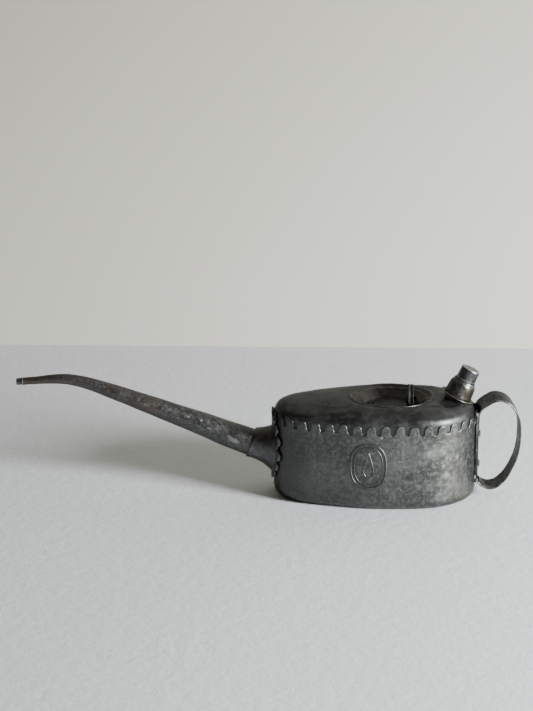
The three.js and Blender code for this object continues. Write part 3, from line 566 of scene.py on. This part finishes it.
def body_point(s, inset, z, bulge=0.0, dents=True):
    x, y = oval(s, inset)
    p = np.stack([x, y, np.broadcast_to(z, x.shape).astype(float)], 1)
    n = np.stack([x / A ** 2, y / B ** 2, np.zeros_like(x)], 1)
    n /= np.linalg.norm(n, axis=1)[:, None]
    d = np.asarray(bulge, float) * np.ones(len(x))
    if dents:
        mask = smooth((p[:, 2] - 4) / 10) * smooth((61 - p[:, 2]) / 8)
        d = d + mask * (0.26 * wobble(p, 55.0, 3) + 0.08 * wobble(p, 21.0, 4) - 0.30)
    return p + n * np.minimum(d - 0.45, -0.02)[:, None]


def body_rings():
    rings, wear = [], []

    def add(p, w=0.0):
        rings.append(p)
        # pale wear on the edges, plus a painted highlight: the wear is made stronger towards the +X end, where the
        # window light falls
        wear.append(np.ones(len(p)) * w * (0.25 + 0.75 * np.clip((p[:, 0] + 55) / 75, 0, 1)))
    s0 = ts - 0.35 * tns
    for inset in (46.5, 38.0, 26.0, 14.0, 9.0):
        add(body_point(s0, inset, 0.0 if inset < 20 else 0.25, dents=False))
    for i in range(11):
        a = -PI / 2 + PI / 2 * i / 10
        add(body_point(s0, EDGE_R * (1 - math.cos(a)), EDGE_R * (1 + math.sin(a))), 0.25 if 2 < i < 7 else 0.0)
    for z in np.linspace(11, 56.6, 16):
        add(body_point(s0, 0, z))
    bump = 0.42 * smooth(tm)
    for z, f in ((58.3, 0.25),):
        add(body_point(s0, 0, z, bump * f))
    for delta, inset, w in ((1.1, 0.0, 0.1), (0.5, 0.0, 0.55), (0.16, 0.07, 1.0), (0.0, 0.35, 0.9), (0.0, 0.75, 0.25), (0.2, 1.0, 0.0)):
        add(body_point(ts - delta * tns, inset, tz - delta * tnz, bump * (1 if inset < 0.5 else 0.9), dents=False), w * (0.22 + 0.45 * tm))
    add(body_point(s0, 1.0, 56.0, dents=False))
    add(body_point(s0, 1.0, 30.0, dents=False))
    for i in range(6):
        a = PI / 2 * i / 5
        add(body_point(s0, 1 + 6.8 * (1 - math.cos(a)), 1 + 6.8 * (1 - math.sin(a)), dents=False))
    for inset in (14.0, 46.5):
        add(body_point(s0, inset, 1.0, dents=False))
    return rings, wear


br, body_wear_and_highlight = body_rings()
body = build("can_body", br, "can", M_wall, cap0=True, cap1=True, sharp=50, wear=body_wear_and_highlight, replaces=("body_shell",), slot="tinned_steel")

# ------------------------------------------------------------------ cover
def cover_rings():
    n = 288
    s = np.linspace(0, PERIM, n, endpoint=False)
    x0, y0 = oval(s, 1.3)
    ang = np.arctan2(y0, x0 - FILL_X)
    R = DISH_R - 0.9
    xc, yc = FILL_X + R * np.cos(ang), R * np.sin(ang)
    rings, wear = [], []
    for inset, z in ((1.3, 54.0), (1.3, 60.0), (1.3, 65.4)):
        x, y = oval(s, inset)
        rings.append(np.stack([x, y, np.full(n, z)], 1))
        wear.append(np.zeros(n))
    K = 44
    for k in range(0, K + 1):
        w = (k / K) ** 1.5
        x, y = x0 + (xc - x0) * w, y0 + (yc - y0) * w
        d = inset_of(x, y)
        z = dome_profile(d) + crown(x, y, d)
        e = smooth((w - 0.45) / 0.55)
        z = z + (RIM_Z + 0.15 - z) * e
        p = np.stack([x, y, z], 1)
        p[:, 2] += smooth(w * 6) * (1 - e) * (0.22 * wobble(p, 48.0, 11) + 0.06 * wobble(p, 17.0, 12))
        rings.append(p)
        wear.append(np.full(n, 0.0) + (0.5 if k == K else 0.0))
    rings.append(np.stack([xc, yc, np.full(n, RIM_Z - 0.9)], 1))
    wear.append(np.zeros(n))
    for k in range(K, -1, -4):
        w = (k / K) ** 1.5
        x, y = x0 + (xc - x0) * w, y0 + (yc - y0) * w
        d = inset_of(x, y)
        z = dome_profile(d) + crown(x, y, d)
        e = smooth((w - 0.45) / 0.55)
        z = z + (RIM_Z + 0.15 - z) * e - 0.9
        x, y = x * (1 - 0.9 / 80 * (1 - w)), y * (1 - 0.9 / 48 * (1 - w))
        rings.append(np.stack([x, y, np.minimum(z, RIM_Z - 0.9)], 1))
        wear.append(np.zeros(n))
    x, y = oval(s, 2.2)
    rings.append(np.stack([x, y, np.full(n, 54.0)], 1))
    wear.append(np.zeros(n))
    return rings, wear


cr, cw = cover_rings()
cover = build("can_cover", cr, "can", M_cover, close=True, sharp=45, wear=cw, replaces=("top_cover",), slot="dark_steel")

# ------------------------------------------------------------------ filler dish
z0, R0 = RIM_Z, DISH_R
dish_profile = fine([
    (R0 - 1.5, z0 - 1.4), (R0 - 1.5, z0 - 0.1), (R0 - 0.9, z0 + 0.1), (R0 + 0.1, z0 + 0.1), (R0 + 0.4, z0 + 0.3), (R0 + 0.1, z0 + 0.55),
    (R0 - 0.8, z0 + 0.65), (R0 - 1.8, z0 + 0.4), (R0 - 3.0, z0 - 0.35), (28.9, z0 - 0.95), (27.6, z0 - 1.3), (26.6, z0 - 2.2), (24.4, z0 - 4.0), (22.2, z0 - 5.6),
    (20.3, z0 - 7.0), (19.0, SEAT_Z + 1.2), (SEAT_R, SEAT_Z + 0.1), (SEAT_R - 0.5, SEAT_Z), (14.7, SEAT_Z), (14.5, SEAT_Z - 0.3), (14.5, SEAT_Z - 4.4),
    (15.4, SEAT_Z - 4.4), (15.4, SEAT_Z - 0.9), (SEAT_R + 0.7, SEAT_Z - 0.9), (SEAT_R + 1.6, SEAT_Z + 0.9), (22.9, z0 - 6.6),
    (28.4, z0 - 3.4), (R0 - 2.3, z0 - 1.5), (R0 - 1.5, z0 - 1.4)], 0.45, (0, 1, 17, 18, 19, 20, 21, 22, 23, 27))
dw = [0.7 if (abs(r - (R0 - 0.3)) < 0.9 and z > z0 + 0.3) else (0.5 if 27.2 < r < 28.4 and z > z0 - 1.6 else 0.0) for r, z in dish_profile]
dish = revolve("filler_funnel", dish_profile[:-1], "can", M_dish, 168, (FILL_X, 0), dent=0.05, seed=21, wear=dw, close=True, sharp=50,
               replaces=("filler_dish",), slot="dark_steel")

# ------------------------------------------------------------------ flap and what it carries
FR = 17.2
flap_profile = fine([
    (0.0, SEAT_Z + 2.0), (FR - 2.8, SEAT_Z + 1.6), (FR - 0.5, SEAT_Z + 1.35), (FR - 0.05, SEAT_Z + 1.55), (FR, SEAT_Z + 1.9), (FR - 0.35, SEAT_Z + 2.3),
    (FR - 1.1, SEAT_Z + 2.45), (FR - 2.0, SEAT_Z + 2.3), (FR - 2.8, SEAT_Z + 2.45), (FR - 4.2, SEAT_Z + 2.75), (8.0, SEAT_Z + 2.88), (0.0, SEAT_Z + 2.9)], 0.5, (1, 2))
# wear on the flap's rolled rim, plus a painted highlight: the pale wear colour stands in for the rim's light line
flap_rim_wear_and_highlight = [0.9 if r > FR - 1.2 and z > SEAT_Z + 2.0 else 0.0 for r, z in flap_profile]
flap = revolve("filler_lid", flap_profile, "flap", M_flap, 128, (FILL_X, 0), dent=0.06, seed=22, wear=flap_rim_wear_and_highlight, cap0=True, cap1=True, sharp=50,
               replaces=("filler_flap",), slot="dark_steel")


def arch_loop():
    """The thumb loop: a shallow channel strap bent to an arch across the can, with pin eyes and turned-in feet."""
    path = []
    zc, zf = LOOP_TOP - LOOP_HALF - 0.6, SEAT_Z + 3.75
    path += [(-LOOP_HALF + 3.2, zf), (-LOOP_HALF + 1.3, zf), (-LOOP_HALF + 0.3, zf + 0.35), (-LOOP_HALF, zf + 1.4)]
    path += [(-LOOP_HALF, z) for z in np.linspace(zf + 3, zc - 1.0, 5)]
    path += [(-LOOP_HALF * math.cos(a), zc + LOOP_HALF * math.sin(a)) for a in np.linspace(0.12, PI - 0.12, 15)]
    path += [(LOOP_HALF, z) for z in np.linspace(zc - 1.0, zf + 3, 5)]
    path += [(LOOP_HALF, zf + 1.4), (LOOP_HALF - 0.3, zf + 0.35), (LOOP_HALF - 1.3, zf), (LOOP_HALF - 3.2, zf)]
    C = catmull(path, 120)
    T = np.gradient(C, axis=0)
    T /= np.linalg.norm(T, axis=1)[:, None]
    N = np.stack([-T[:, 1], T[:, 0]], 1)
    N *= np.where((N * (C - np.array([0, zc - 4]))).sum(1) < 0, -1, 1)[:, None]
    sec = [(-1, -0.45), (-1.0, 0.2), (-0.93, 0.6), (-0.78, 0.72), (-0.62, 0.52), (-0.45, 0.18), (0, 0.08), (0.45, 0.18), (0.62, 0.52), (0.78, 0.72),
           (0.93, 0.6), (1.0, 0.2), (1, -0.45), (0.5, -0.5), (-0.5, -0.5)]
    rings, wear = [], []
    for i in range(len(C)):
        drop = (LOOP_TOP - C[i, 1])
        w = 1.95 + 0.25 * smooth((LOOP_TOP - 4 - C[i, 1]) / 6)
        eye = math.exp(-((C[i, 1] - PIN_Z) / 1.6) ** 2)
        w += 0.45 * eye
        xs = np.array([q[0] for q in sec]) * w + LOOP_X + 0.5 * eye
        h = np.array([q[1] for q in sec])
        rings.append(np.stack([xs, C[i, 0] + N[i, 0] * h, C[i, 1] + N[i, 1] * h], 1))
        wear.append(np.array([0.15, 0.5, 1, 1, 0.5, 0, 0, 0, 0.5, 1, 1, 0.5, 0.15, 0, 0]))
    return rings, wear


lr, lw = arch_loop()
loop = build("lift_loop", lr, "flap", M_loop, cap0=True, cap1=True, sharp=55, wear=lw, replaces=("thumb_loop",), slot="dark_steel")

# ------------------------------------------------------------------ neck, flange, cap
neck_profile = fine([
    (9.2, -3.2), (9.2, 0.6), (10.7, 1.3), (10.75, 2.4), (10.5, 4.6), (10.3, 8.0), (9.85, 10.8), (9.1, 12.5), (8.65, 13.3), (8.6, 13.8), (8.5, 14.2), (8.3, 14.35),
    (8.05, 14.3), (8.0, 13.9), (8.0, 6.5), (2.3, 6.5), (2.3, 5.2), (7.6, 5.2), (7.6, -3.2), (9.2, -3.2)], 0.4, (0, 1, 2, 13, 14, 15, 16, 17, 18))
nw = [1.0 if (h > 13.4 and r > 8.1) else (0.25 if h > 12 and r > 8.2 else 0.0) for r, h in neck_profile]
neck = revolve("button_neck", neck_profile[:-1], "can", M_neck, 96, lean=True, dent=0.12, seed=31, wear=nw, close=True, sharp=48,
               replaces=("valve_neck",), slot="tinned_steel")
flange_profile = fine([(9.6, 0.5), (13.1, 0.6), (13.55, 0.85), (13.5, 1.25), (12.9, 1.5), (9.6, 1.55), (9.6, 0.5)], 0.25, (1, 4, 5))
flw = [0.35 if r > 12.2 and h > 0.8 else 0.0 for r, h in flange_profile]
flange = revolve("neck_ring", flange_profile[:-1], "can", M_neck, 96, lean=True, dent=0.18, seed=32, wear=flw, close=True, sharp=50,
                 replaces=("neck_flange",), slot="tinned_steel")
cap_profile = fine([
    (0.0, 24.0), (5.8, 24.0), (6.6, 23.3), (6.8, 15.0), (6.8, 11.9), (7.5, 11.9), (7.5, 14.6), (7.52, 15.0), (7.62, 15.2), (7.62, 15.5), (7.5, 15.75), (7.45, 18.5), (7.4, 23.2),
    (7.32, 23.85), (7.0, 24.4), (6.35, 24.72), (5.0, 24.84), (2.5, 24.78), (0.0, 24.76)], 0.35, (1, 4, 5))
cw2 = [0.9 if (h > 24.0 and r > 5.9 and h < 24.99) else (0.6 if 15.0 < h < 15.8 and r > 7.5 else 0.0) for r, h in cap_profile]
cap = revolve("press_cap", cap_profile, "button", M_cap, 96, lean=True, dent=0.07, seed=33, wear=cw2, cap0=True, cap1=True, sharp=50,
              replaces=("thumb_button",), slot="bright_steel")

# ------------------------------------------------------------------ spout
SPOUT = [
    (-271.0, 86.9, 5.8), (-266.2, 87.3, 5.9), (-260.0, 87.8, 6.1), (-253.8, 88.4, 6.5), (-247.6, 88.8, 6.9), (-241.4, 88.9, 7.4),
    (-235.2, 88.5, 8.0), (-229.0, 87.4, 8.7), (-222.9, 86.0, 9.4), (-216.7, 84.2, 10.0), (-204.5, 80.1, 11.1), (-192.2, 75.7, 12.2),
    (-180.0, 71.1, 13.4), (-167.6, 66.5, 14.5), (-155.3, 61.8, 15.8), (-143.0, 57.2, 17.1), (-130.6, 52.6, 18.3), (-118.2, 47.9, 19.5),
    (-105.9, 43.4, 20.6), (-97.0, 40.0, 21.2), (-91.0, 37.8, 21.6)]


def spout_rings():
    C = catmull([(x, z, d) for x, z, d in SPOUT], 220)
    T = np.gradient(C[:, :2], axis=0)
    T /= np.linalg.norm(T, axis=1)[:, None]
    N = np.stack([-T[:, 1], T[:, 0]], 1)
    seg = 64
    a = np.linspace(0, 2 * PI, seg, endpoint=False)
    rings, wear = [], []
    for i in range(len(C)):
        r = C[i, 2] / 2
        p = np.stack([C[i, 0] + N[i, 0] * r * np.cos(a), r * np.sin(a), C[i, 1] + N[i, 1] * r * np.cos(a)], 1)
        f = 1 + (0.16 * wobble(p, 32.0, 41) + 0.06 * wobble(p, 11.0, 42)) / r * min(1, i / 20)
        seam = 1 + 0.22 / r * np.exp(-((a - 1.15 * PI) / 0.10) ** 2) * (1 if i > 6 else 0)
        k = r * f * seam
        rings.append(np.stack([C[i, 0] + N[i, 0] * k * np.cos(a), k * np.sin(a), C[i, 1] + N[i, 1] * k * np.cos(a)], 1))
        wear.append(np.full(seg, 0.0) + (0.5 * np.exp(-((a - 1.15 * PI) / 0.10) ** 2)))
    for i in range(len(C) - 1, -1, -10):
        r = C[i, 2] / 2 - 0.8
        rings.append(np.stack([C[i, 0] + N[i, 0] * r * np.cos(a), r * np.sin(a), C[i, 1] + N[i, 1] * r * np.cos(a)], 1))
        wear.append(np.zeros(seg))
    return rings, wear, (C[0], T[0])


sr, sw, (tipc, tipt) = spout_rings()
spout = build("spout_pipe", sr, "can", M_spout, close=True, sharp=50, wear=sw, replaces=("spout_tube",), slot="dark_steel")


def tip_rings():
    prof = fine([(1.2, -3.0), (1.75, -3.0), (1.75, 0.25), (2.9, 0.25), (3.05, 0.5), (3.1, 0.9), (2.95, 1.25), (2.7, 1.45), (2.68, 2.6), (2.62, 4.6),
                 (2.6, 5.2), (2.42, 5.55), (2.0, 5.7), (1.75, 5.6), (1.6, 5.0), (1.2, 3.0), (1.2, -3.0)], 0.2, (1, 2, 3, 15))
    a = np.linspace(0, 2 * PI, 40, endpoint=False)
    d = np.array([-tipt[0], -tipt[1]])          # outwards along the spout
    n = np.array([-d[1], d[0]])
    rings, wear = [], []
    for r, h in prof[:-1]:
        rings.append(np.stack([tipc[0] + d[0] * h + n[0] * r * np.cos(a), r * np.sin(a), tipc[1] + d[1] * h + n[1] * r * np.cos(a)], 1))
        wear.append(np.full(40, 0.8 if (5.1 < h and r > 1.7) or (0.4 < h < 1.3 and r > 2.8) else 0.1))
    return rings, wear


tr, tw = tip_rings()
tip = build("spout_nozzle", tr, "can", M_spout, close=True, sharp=50, wear=tw, replaces=("spout_tip",), slot="bright_steel")

# ------------------------------------------------------------------ spout socket
def socket_rings():
    seg = 16 * 18
    a = np.linspace(0, 2 * PI, seg, endpoint=False)
    ax, nr = np.array([-0.94, 0.342]), np.array([0.342, 0.94])
    MX, MZ = -95.5, 39.5
    rt = 10.67

    def ring(k, r):
        return np.stack([MX - ax[0] * k + nr[0] * r * np.cos(a), r * np.sin(a), MZ - ax[1] * k + nr[1] * r * np.cos(a)], 1)

    def oval2(zc, hz, hy, n):
        c, s = np.cos(a), np.sin(a)
        return np.sign(s) * hy * np.abs(s) ** (2 / n), zc + np.sign(c) * hz * np.abs(c) ** (2 / n)

    def on_wall(y, z, out):
        return np.stack([-wall_x(y, out, -1), y, z], 1)

    def wall_ring(out, zc, hz, hy, n=2.0):
        y, z = oval2(zc, hz, hy, n)
        return on_wall(y, z, out)

    # scalloped edge: round-headed tabs with narrow slots between them
    ph = (a * 16 / (2 * PI)) % 1.0
    u = np.abs(ph - 0.5) * 2                      # 0 mid tab, 1 mid slot
    head = np.sqrt(np.clip(1 - (u / 0.80) ** 2.6, 0, 1))
    tab = np.where(u < 0.80, head, 0.0)

    def edge(out, shrink, depth=3.6):
        y, z = oval2(39.7, 27.7 - shrink, 21.5 - shrink, 2.3)
        cy, cz = y, z - 39.7
        l = np.hypot(cy, cz)
        k = 1 - depth * (1 - tab) / l
        return on_wall(cy * k, 39.7 + cz * k, out)

    def bell(p, q, k, w):
        x = p[:, 0] + (q[:, 0] - p[:, 0]) * k
        return np.stack([x, p[:, 1] + (q[:, 1] - p[:, 1]) * w, p[:, 2] + (q[:, 2] - p[:, 2]) * w], 1)
    mo, fo = ring(0, rt + 1.35), wall_ring(1.2, 35.0, 18.0, 16.6)
    mi, fi = ring(0.3, rt + 0.1), wall_ring(0.3, 35.0, 17.0, 15.8)
    rings = [mi, ring(-0.15, rt + 0.4), ring(-0.25, rt + 0.9), mo]
    wear = [0.3, 0.8, 0.9, 0.4]
    for k in np.linspace(0.06, 1.0, 16):
        w = 0.75 * k ** 2.1 + 0.25 * k
        rings.append(bell(mo, fo, k if k < 1 else 0.985, w))
        wear.append(0.0)
    base = edge(1.3, 4.2, 0.0)
    last = rings[-1]
    for w in (0.35, 0.7):
        y, z = last[:, 1] + (base[:, 1] - last[:, 1]) * w, last[:, 2] + (base[:, 2] - last[:, 2]) * w
        rings.append(on_wall(y, z, 1.25))
        wear.append(0.0)
    lump = 0.35
    rings += [edge(1.25 + lump * 0.5, 3.4, 0.6), edge(1.2 + lump, 1.6, 2.6), edge(1.3 + lump * 0.6, 0.5, 3.5), edge(1.15, 0.1, 3.6), edge(0.75, 0.0, 3.6), edge(0.3, 0.1, 3.6)]
    wear += [0.0, 0.1, 0.5, 0.8, 0.3, 0.0]
    rings.append(edge(0.3, 3.4, 0.6))
    rings.append(fi)
    for k in (0.8, 0.55, 0.3, 0.12):
        rings.append(bell(mi, fi, k, 0.75 * k ** 2.1 + 0.25 * k))
    wear += [0.0] * 6
    return rings, [np.full(seg, w) * (tab if 19 < i < 27 else 1.0) for i, w in enumerate(wear)]


kr, kw_ = socket_rings()
socket = build("spout_root", kr, "can", M_socket, close=True, sharp=48, wear=kw_, replaces=("spout_socket",), slot="tinned_steel")

# ------------------------------------------------------------------ handle
HANDLE = [
    (79.45, 52.0), (79.45, 58.0), (79.6, 63.0), (80.5, 67.0), (82.5, 70.9), (85.6, 74.2), (89.2, 76.8), (93.6, 77.7), (98.6, 76.7), (103.0, 73.9), (106.4, 69.4),
    (109.7, 63.0), (111.0, 55.0), (111.05, 47.0), (110.4, 39.0), (108.8, 30.8), (105.7, 22.7), (101.5, 14.9), (97.4, 10.4), (93.6, 7.5),
    (89.6, 6.6), (85.9, 7.3), (82.8, 9.3), (80.7, 12.0)]
H_AT = [0.0, 0.18, 0.34, 0.5, 0.62, 0.72, 0.84, 1.0]
H_HALF = [14.6, 14.4, 13.2, 11.2, 9.8, 9.5, 10.4, 10.8]


def handle_rings():
    C = catmull(HANDLE, 190)
    T = np.gradient(C, axis=0)
    T /= np.linalg.norm(T, axis=1)[:, None]
    N = np.stack([-T[:, 1], T[:, 0]], 1)            # outwards from the loop
    yk = np.r_[np.linspace(-1, 1, 25)]
    top = [(y, 0.65 + 0.22 * math.exp(-((1 - abs(y)) / 0.055) ** 2) * (1 if abs(y) < 0.999 else 0.3)) for y in yk]
    bot = [(y, -0.65 - 0.10 * math.exp(-((1 - abs(y)) / 0.06) ** 2) * (1 if abs(y) < 0.999 else -2)) for y in yk[::-1]]
    sec = [(-1.0, 0.3)] + [(y * 0.985, h) for y, h in top] + [(1.0, 0.3), (1.0, -0.3)] + [(y * 0.985, h) for y, h in bot] + [(-1.0, -0.3)]
    sec = np.array(sec)
    edge_w = np.where(np.abs(sec[:, 0]) > 0.9, 0.9, 0.0)
    rings, wear = [], []
    for i in range(len(C)):
        t = i / (len(C) - 1)
        half = np.interp(t, H_AT, H_HALF)
        y = sec[:, 0] * half
        x = C[i, 0] + N[i, 0] * sec[:, 1]
        z = C[i, 1] + N[i, 1] * sec[:, 1]
        hug = smooth((79.45 + 9 - C[i, 0]) / 8)
        x = x - hug * (A - wall_x(y))
        p = np.stack([x, y, z], 1)
        free = smooth((C[i, 0] - 82) / 10)
        p[:, 0] += free * (0.18 * wobble(p, 40.0, 51) - 0.15)
        p[:, 1] += free * 0.30 * wobble(p, 60.0, 52)
        rings.append(p)
        wear.append(edge_w)
    return rings, wear


hr, hw = handle_rings()
handle = build("handle_band", hr, "can", M_handle, cap0=True, cap1=True, sharp=50, wear=hw, replaces=("handle_strap",), slot="dark_steel")


def wall_leg():
    """The strap's flat leg down the wall, from under the joint to the bottom corner."""
    zs = np.linspace(12.4, 56.0, 40)
    rings = []
    half = np.interp(zs, [12, 56], [10.6, 14.2])
    yk = np.linspace(-1, 1, 21)
    for z, hw_ in zip(zs, half):
        y = yk * hw_
        xo, xi = wall_x(y) + 1.45, wall_x(y) + 0.3
        xo[0] -= 0.4
        xo[-1] -= 0.4
        xo = xo - 0.65 * smooth((z - 51.0) / 3.0)
        ring = np.concatenate([np.stack([xo, y, np.full(21, z)], 1), np.stack([xi, y, np.full(21, z)], 1)[::-1]])
        rings.append(ring)
    w = [np.concatenate([np.where(np.abs(yk) > 0.9, 0.18, 0.0), np.zeros(21)]) for _ in zs]
    return build("handle_leg", rings, "can", M_handle, cap0=True, cap1=True, sharp=50, wear=w, slot="dark_steel")


leg = wall_leg()


# ------------------------------------------------------------------ solder, cast lumps and relief
def blob(name, centre, radii, body, mat, seed, rough=0.25, rot=0.0, n=28):
    a = np.linspace(0, 2 * PI, n, endpoint=False)
    rings = []
    for b in np.linspace(-PI / 2 + 0.08, PI / 2 - 0.08, n // 2):
        p = np.stack([np.cos(b) * np.cos(a), np.cos(b) * np.sin(a), np.full(n, math.sin(b))], 1)
        f = 1 + rough * wobble(p * 10, 9.0, seed)
        p = p * f[:, None] * np.array(radii)
        x = p[:, 0] * math.cos(rot) + p[:, 2] * math.sin(rot)
        z = -p[:, 0] * math.sin(rot) + p[:, 2] * math.cos(rot)
        rings.append(np.stack([x, p[:, 1], z], 1) + np.array(centre))
    return build(name, rings, body, mat, cap0=True, cap1=True, sharp=60, wear=[np.full(n, 0.05)] * len(rings), slot="solder")


def side_point(y, z, out=0.0):
    return (float(wall_x(np.array([y]), out)[0]), y, z)


blob("solder_joint_near", side_point(-13.6, 66.6, 0.2), (1.3, 1.9, 2.3), "can", M_solder, 61)
blob("solder_joint_far", side_point(13.6, 66.0, 0.2), (1.3, 1.8, 2.6), "can", M_solder, 62)
blob("solder_leg_near", side_point(-12.9, 38.6, 0.6), (0.8, 1.0, 1.1), "can", M_solder, 63)
blob("solder_leg_far", side_point(12.9, 34.0, 0.6), (0.8, 1.0, 1.5), "can", M_solder, 64)
blob("solder_foot_near", side_point(-9.6, 12.6, 0.4), (1.2, 1.6, 1.6), "can", M_solder, 65)
blob("solder_foot_far", side_point(9.6, 12.8, 0.4), (1.2, 1.6, 1.5), "can", M_solder, 66)


def relief():
    """A plain oval cartouche with an oil drop, pressed out of the front wall."""
    cx, cz, rx, rz = -6.0, 35.3, 13.2, 17.0
    pieces = []

    def bead(name, outline, width, height):
        n = len(outline)
        P = np.array(outline)
        T = np.roll(P, -1, 0) - np.roll(P, 1, 0)
        T /= np.linalg.norm(T, axis=1)[:, None]
        N = np.stack([T[:, 1], -T[:, 0]], 1)
        sec = [(-1, -0.25), (-0.8, 0.35), (-0.45, 0.85), (0, 1), (0.45, 0.85), (0.8, 0.35), (1, -0.25)]
        rings = []
        for k, h in sec:
            q = P + N * k * width / 2
            y = -wall_y(q[:, 0])
            p = np.stack([q[:, 0], y, q[:, 1]], 1)
            mask = smooth((p[:, 2] - 4) / 10) * smooth((61 - p[:, 2]) / 8)
            d = mask * (0.26 * wobble(p, 55.0, 3) + 0.08 * wobble(p, 21.0, 4) - 0.30)
            p[:, 1] -= np.minimum(d - 0.45, -0.02) + h * height
            rings.append(p)
        w = [np.full(n, v) for v in (0.0, 0.05, 0.2, 0.3, 0.2, 0.05, 0.0)]
        ob = build(name, rings, "can", M_wall, sharp=60, wear=w, close=True, slot="tinned_steel")
        pieces.append(ob)
    t = np.linspace(0, 2 * PI, 160, endpoint=False)
    bead("relief_rim", [(cx + rx * np.sign(math.cos(q)) * abs(math.cos(q)) ** 0.8, cz + rz * np.sign(math.sin(q)) * abs(math.sin(q)) ** 0.8) for q in t], 1.3, 0.55)
    bead("relief_rim_inner", [(cx + (rx - 2.6) * np.sign(math.cos(q)) * abs(math.cos(q)) ** 0.8, cz + (rz - 2.6) * np.sign(math.sin(q)) * abs(math.sin(q)) ** 0.8) for q in t], 0.8, 0.4)
    drop = []
    for q in np.linspace(0, 2 * PI, 120, endpoint=False):
        r = 5.2
        x = r * math.sin(q) * (math.sin(q / 2) ** 1.5)
        z = -r * 1.05 * math.cos(q) * -1
        drop.append((cx + x, cz + 0.4 + 1.75 * (z if z < 0 else z * 1.15) * 0.95))
    bead("relief_drop", drop, 0.95, 0.5)
    return pieces


relief()

# ------------------------------------------------------------------ CAD pieces that keep their own shape
for name, m in {
    "hinge_ear_near": M_loop, "hinge_ear_far": M_loop, "hinge_pin": M_cap, "flap_gasket": M_leather, "gasket_retainer": M_wall,
    "gasket_rivet": M_brass, "flap_spring": M_spring, "valve_seat": M_brass, "valve_stem": M_spring, "valve_washer": M_leather,
    "valve_disc": M_brass, "valve_nut": M_brass, "valve_spring": M_spring, "handle_rivet_upper": M_solder, "handle_rivet_lower": M_solder,
}.items():
    o = nodes[name]
    o.data.materials.clear()
    o.data.materials.append(m)
    if name in ("hinge_ear_near", "hinge_ear_far", "hinge_pin", "gasket_retainer", "valve_nut", "valve_disc", "valve_seat"):
        bv = o.modifiers.new("edge", "BEVEL")
        bv.width = 0.00018
        bv.segments = 2
        bv.limit_method = "ANGLE"
        bv.angle_limit = math.radians(35)

# the coil spring shortens as the button goes down, so it is its own piece here
src = nodes["valve_spring"]
me = src.data.copy()
me.transform(src.matrix_world)
coil = bpy.data.objects.new("button_coil", me)
scene.collection.objects.link(coil)
for poly in me.polygons:
    poly.use_smooth = True
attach(coil, "can")
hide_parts("valve_spring")
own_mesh(coil)

# ------------------------------------------------------------------ floor, wall, light
def stage_plane(name, corners, mat):
    me = bpy.data.meshes.new(name)
    me.from_pydata(corners, [], [(0, 1, 2, 3)])
    ob = bpy.data.objects.new(name, me)
    scene.collection.objects.link(ob)
    me.materials.append(mat)
    return ob


def plain(name, color, rough, bump_scale, bump_strength, var, top=None):
    g = Graph(name)
    n = g.noise(2.5, 3, 0.5)
    col = g.mix(g.math("MULTIPLY", g.ramp(n, 0.3, 0.7), 1.0), color, tuple(c * var for c in color))
    # painted shade: the colour darkens towards the given top colour higher up, as the light falls off with height
    if top:
        col = g.mix(g.ramp(g.axis("Z"), 0.0, 0.45), col, top)
    g.link(col, g.bsdf.inputs["Base Color"])
    g.bsdf.inputs["Roughness"].default_value = rough
    g.bsdf.inputs["Specular IOR Level"].default_value = 0.2
    g.bump([(g.noise(bump_scale, 5, 0.65), bump_strength, 0.0015)])
    return g.mat


M_floor = plain("pale_floor", (0.63, 0.655, 0.675), 0.8, 110.0, 0.45, 0.965)
# the backdrop's darker top colour is painted shade from the light falling off up the wall
M_back = plain("pale_wall", (0.50, 0.487, 0.425), 0.9, 120.0, 0.05, 0.97, (0.345, 0.332, 0.280))
# the backdrop is a one-sided sheet, so the can can be seen from behind as well
nt = M_back.node_tree
out = next(n for n in nt.nodes if n.type == "OUTPUT_MATERIAL")
face = out.inputs["Surface"].links[0].from_socket
clear, mixer, side = nt.nodes.new("ShaderNodeBsdfTransparent"), nt.nodes.new("ShaderNodeMixShader"), nt.nodes.new("ShaderNodeNewGeometry")
nt.links.new(side.outputs["Backfacing"], mixer.inputs[0])
nt.links.new(face, mixer.inputs[1])
nt.links.new(clear.outputs[0], mixer.inputs[2])
nt.links.new(mixer.outputs[0], out.inputs["Surface"])
WY = 0.444
stage_plane("floor", [(-3, -3, 0), (3, -3, 0), (3, 3, 0), (-3, 3, 0)], M_floor)
stage_plane("back_wall", [(-3, WY, 0), (3, WY, 0), (3, WY, 2.6), (-3, WY, 2.6)], M_back)


def area(name, loc, target, size, size_y, energy, color):
    d = bpy.data.lights.new(name, "AREA")
    d.shape = "RECTANGLE"
    d.size, d.size_y = size, size_y
    d.energy = energy
    d.color = color
    o = bpy.data.objects.new(name, d)
    scene.collection.objects.link(o)
    o.location = loc
    o.rotation_euler = (Vector(target) - Vector(loc)).to_track_quat("-Z", "Y").to_euler()
    return o


area("window", (1.24, -0.72, 0.46), (0.0, 0.0, 0.06), 0.42, 0.46, 96.0, (0.97, 0.99, 1.0))
area("soft_top", (0.2, -0.5, 2.2), (0.0, 0.0, 0.0), 2.4, 2.4, 3.0, (1.0, 0.93, 0.83))

world = bpy.data.worlds.new("soft_room")
world.use_nodes = True
bg = world.node_tree.nodes["Background"]
bg.inputs[0].default_value = (1.0, 0.90, 0.74, 1.0)
bg.inputs[1].default_value = 0.10
scene.world = world
